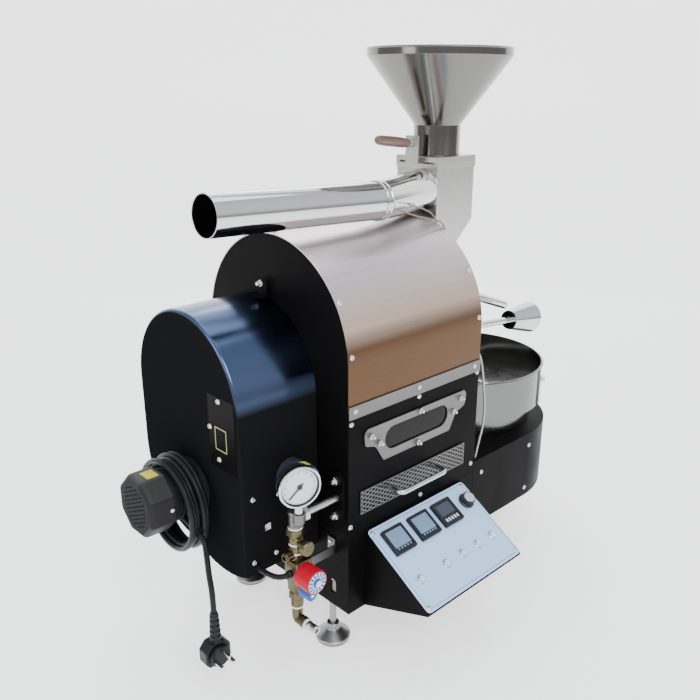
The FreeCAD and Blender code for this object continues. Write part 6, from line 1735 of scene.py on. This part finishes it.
def screws():
    """Button heads with a round socket, one on each spot."""
    radius = 4.6
    profile = softened([(1.9, 1.2), (1.9, 2.2), (2.6, 2.4), (4.0, 1.5), (radius, 0.3),
                        (radius, -0.2)], [0, 0.1, 0.4, 0.8, 0.2, 0], closed=False)
    bm = lathe(profile, Matrix(), 20, False)
    bmesh.ops.holes_fill(bm, edges=[edge for edge in bm.edges if edge.is_boundary], sides=0)
    head = bpy.data.objects.new("screw_head", bm_to_mesh(bm, "screw_head"))
    spots = screw_spots()
    cloud = bpy.data.meshes.new("screw_points")
    cloud.from_pydata([spot for spot, out in spots], [], [])
    way = cloud.attributes.new("out", "FLOAT_VECTOR", "POINT")
    for index, (spot, out) in enumerate(spots):
        way.data[index].vector = out
    mesh = run_nodes("casing_screws", cloud, screw_tree(MATERIALS["zinc"]), Head=head,
                     Size=sizes().screw_head / (radius * MM))
    finish_piece("casing_screws", mesh, "zinc", stands_for=["fasteners"])
    bpy.data.objects.remove(head)


# ---------------------------------------------------------------- cords

COIL_Y = 32.0
COIL_Z = 290.0
TAIL_ROUTE = (
    (-186.0, -47.0, 262.0),
    (-190.0, -58.0, 236.0),
    (-194.0, -67.0, 205.0),
    (-197.0, -79.0, 176.0),
    (-199.0, -82.0, 146.0),
)
PROBE_ROUTE = (
    (324.3, -160.0, 486.0),
    (340.0, -163.0, 476.0),
    (346.0, -170.0, 452.0),
    (344.0, -178.0, 412.0),
    (347.0, -182.0, 372.0),
    (345.0, -182.0, 330.0),
    (341.0, -176.0, 292.0),
    (339.0, -172.0, 260.0),
)
VALVE_ROUTE = (
    (-128.0, -104.5, 207.0),
    (-128.0, -127.5, 206.0),
    (-122.0, -155.0, 208.0),
    (-109.5, -158.0, 209.0),
)


class ROASTER_OT_cords(bpy.types.Operator):
    """Mains cord with its loops and plug, probe cable and valve cable"""
    bl_idname = "roaster.cords"
    bl_label = "Cords"

    def execute(self, context):
        mains_cord(mains_plug())
        dress("cord_gland", "plastic", 0.0004)
        rod_piece("probe_lead", PROBE_ROUTE, sizes().cable / 2 / MM, "braid",
                  stands_for=["probe_cable"])
        rod_piece("valve_lead", VALVE_ROUTE, 4.5, "cord",
                  stands_for=["solenoid_cable"])
        return {"FINISHED"}


def mains_plug():
    """Moulded plug: ribbed relief, body with a round face, and three bright pins."""
    x, y, top = TAIL_ROUTE[-1]
    relief = [(0, 0), (6.0, 0)]
    for rib in range(5):
        base = 4.0 + rib * 9.6
        wide = 6.4 + rib * 0.45
        relief += [(wide, base), (wide + 1.2, base + 1.4), (wide + 1.2, base + 6.0),
                   (wide - 0.4, base + 7.0), (wide - 0.4, base + 9.2)]
    relief += [(9.0, 52.5), (9.0, 58.0), (0, 58.0)]
    turned("plug_relief", relief, at(x, y, top), -Z_AXIS, "cord", facets=40,
           soft=0.6)
    level = top - 54.0
    outline = softened([(x - 12, level), (x + 12, level), (x + 23, level - 12),
                        (x + 23, level - 34), (x + 17, level - 42), (x - 17, level - 42),
                        (x - 23, level - 34), (x - 23, level - 12)], 6.0, 4)
    body = prisms("plug_body", [outline], near_plane(y), -16.0, 8.0, "cord",
                  "root", 0.003, 4, stands_for=["mains_plug"])
    disc = [(0, 0), (18.6, 0), (18.6, 6), (16.6, 9), (0, 9.5)]
    turned("plug_face", disc, at(x, y - 7.0, level - 23.0), -Y_AXIS, "cord",
           facets=56, soft=1.2)
    tip, foot = y - 34.0, top - 84.0
    pins = [((x + side - 3.2, tip, foot), (x + side + 3.2, tip + 20.0, foot + 4.0))
            for side in (-11.0, 11.0)]
    pins.append(((x - 2.0, tip - 4.0, foot + 14.0), (x + 2.0, tip + 20.0, foot + 22.0)))
    blocks("plug_pins", pins, "zinc", 0.0007)
    return body


def loop_points():
    """The cord's loops over the motor: uneven ovals that share their rest on the can."""
    points = []
    per_turn = 16
    turns = sizes().turns
    for step in range(turns * per_turn + 1):
        share = step / per_turn
        turn = min(int(share), turns - 1)
        angle = math.radians(20.0) - share * 2 * math.pi
        half_y = 70.0 + 5.0 * math.sin(turn * 2.1)
        half_z = 77.0 + 4.0 * math.sin(turn * 1.3 + 1.0)
        x = -168.0 - 36.0 * share / turns
        points.append((x, COIL_Y + half_y * math.cos(angle), COIL_Z + half_z * math.sin(angle)))
    return points


def mains_cord(plug):
    """The cord from the gland through its loops to the plug."""
    start = (-162.0, 99.7, 317.9)
    route = [start] + loop_points() + list(TAIL_ROUTE)
    curve = rod_curve("mains_cord", route, sizes().cord / 2 / MM, 4, 6)
    curve.materials.append(MATERIALS["cord"])
    cord = linked("mains_cord", curve)
    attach(cord, "root")
    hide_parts("cord_coil", "cord_tail")


# ---------------------------------------------------------------- panel and registration

class ROASTER_PT_sidebar(bpy.types.Panel):
    """Lists the pieces and their sizes"""
    bl_idname = "ROASTER_PT_sidebar"
    bl_label = "Coffee Roaster"
    bl_space_type = "VIEW_3D"
    bl_region_type = "UI"
    bl_category = "Roaster"

    def draw(self, context):
        layout = self.layout
        for operator in OPERATORS:
            layout.operator(operator.bl_idname)
        for name in RoasterSizes.__annotations__:
            layout.prop(context.scene.roaster_sizes, name)
        for name in RoasterColours.__annotations__:
            layout.prop(context.scene.roaster_colours, name)


OPERATORS = (
    ROASTER_OT_stage,
    ROASTER_OT_cords,
    ROASTER_OT_casing,
    ROASTER_OT_window,
    ROASTER_OT_drive,
    ROASTER_OT_gas,
    ROASTER_OT_feed,
    ROASTER_OT_discharge,
    ROASTER_OT_cooling,
    ROASTER_OT_controls,
    ROASTER_OT_feet,
)
CLASSES = (RoasterSizes, RoasterColours, ROASTER_PT_sidebar) + OPERATORS


def register():
    for kind in CLASSES:
        bpy.utils.register_class(kind)
    bpy.types.Scene.roaster_sizes = PointerProperty(type=RoasterSizes)
    bpy.types.Scene.roaster_colours = PointerProperty(type=RoasterColours)


def unregister():
    del bpy.types.Scene.roaster_colours
    del bpy.types.Scene.roaster_sizes
    for kind in reversed(CLASSES):
        bpy.utils.unregister_class(kind)


def main():
    register()
    make_materials()
    for operator in OPERATORS:
        group, name = operator.bl_idname.split(".")
        getattr(getattr(bpy.ops, group), name)()
    bpy.context.view_layer.update()


if __name__ == "__main__":
    main()
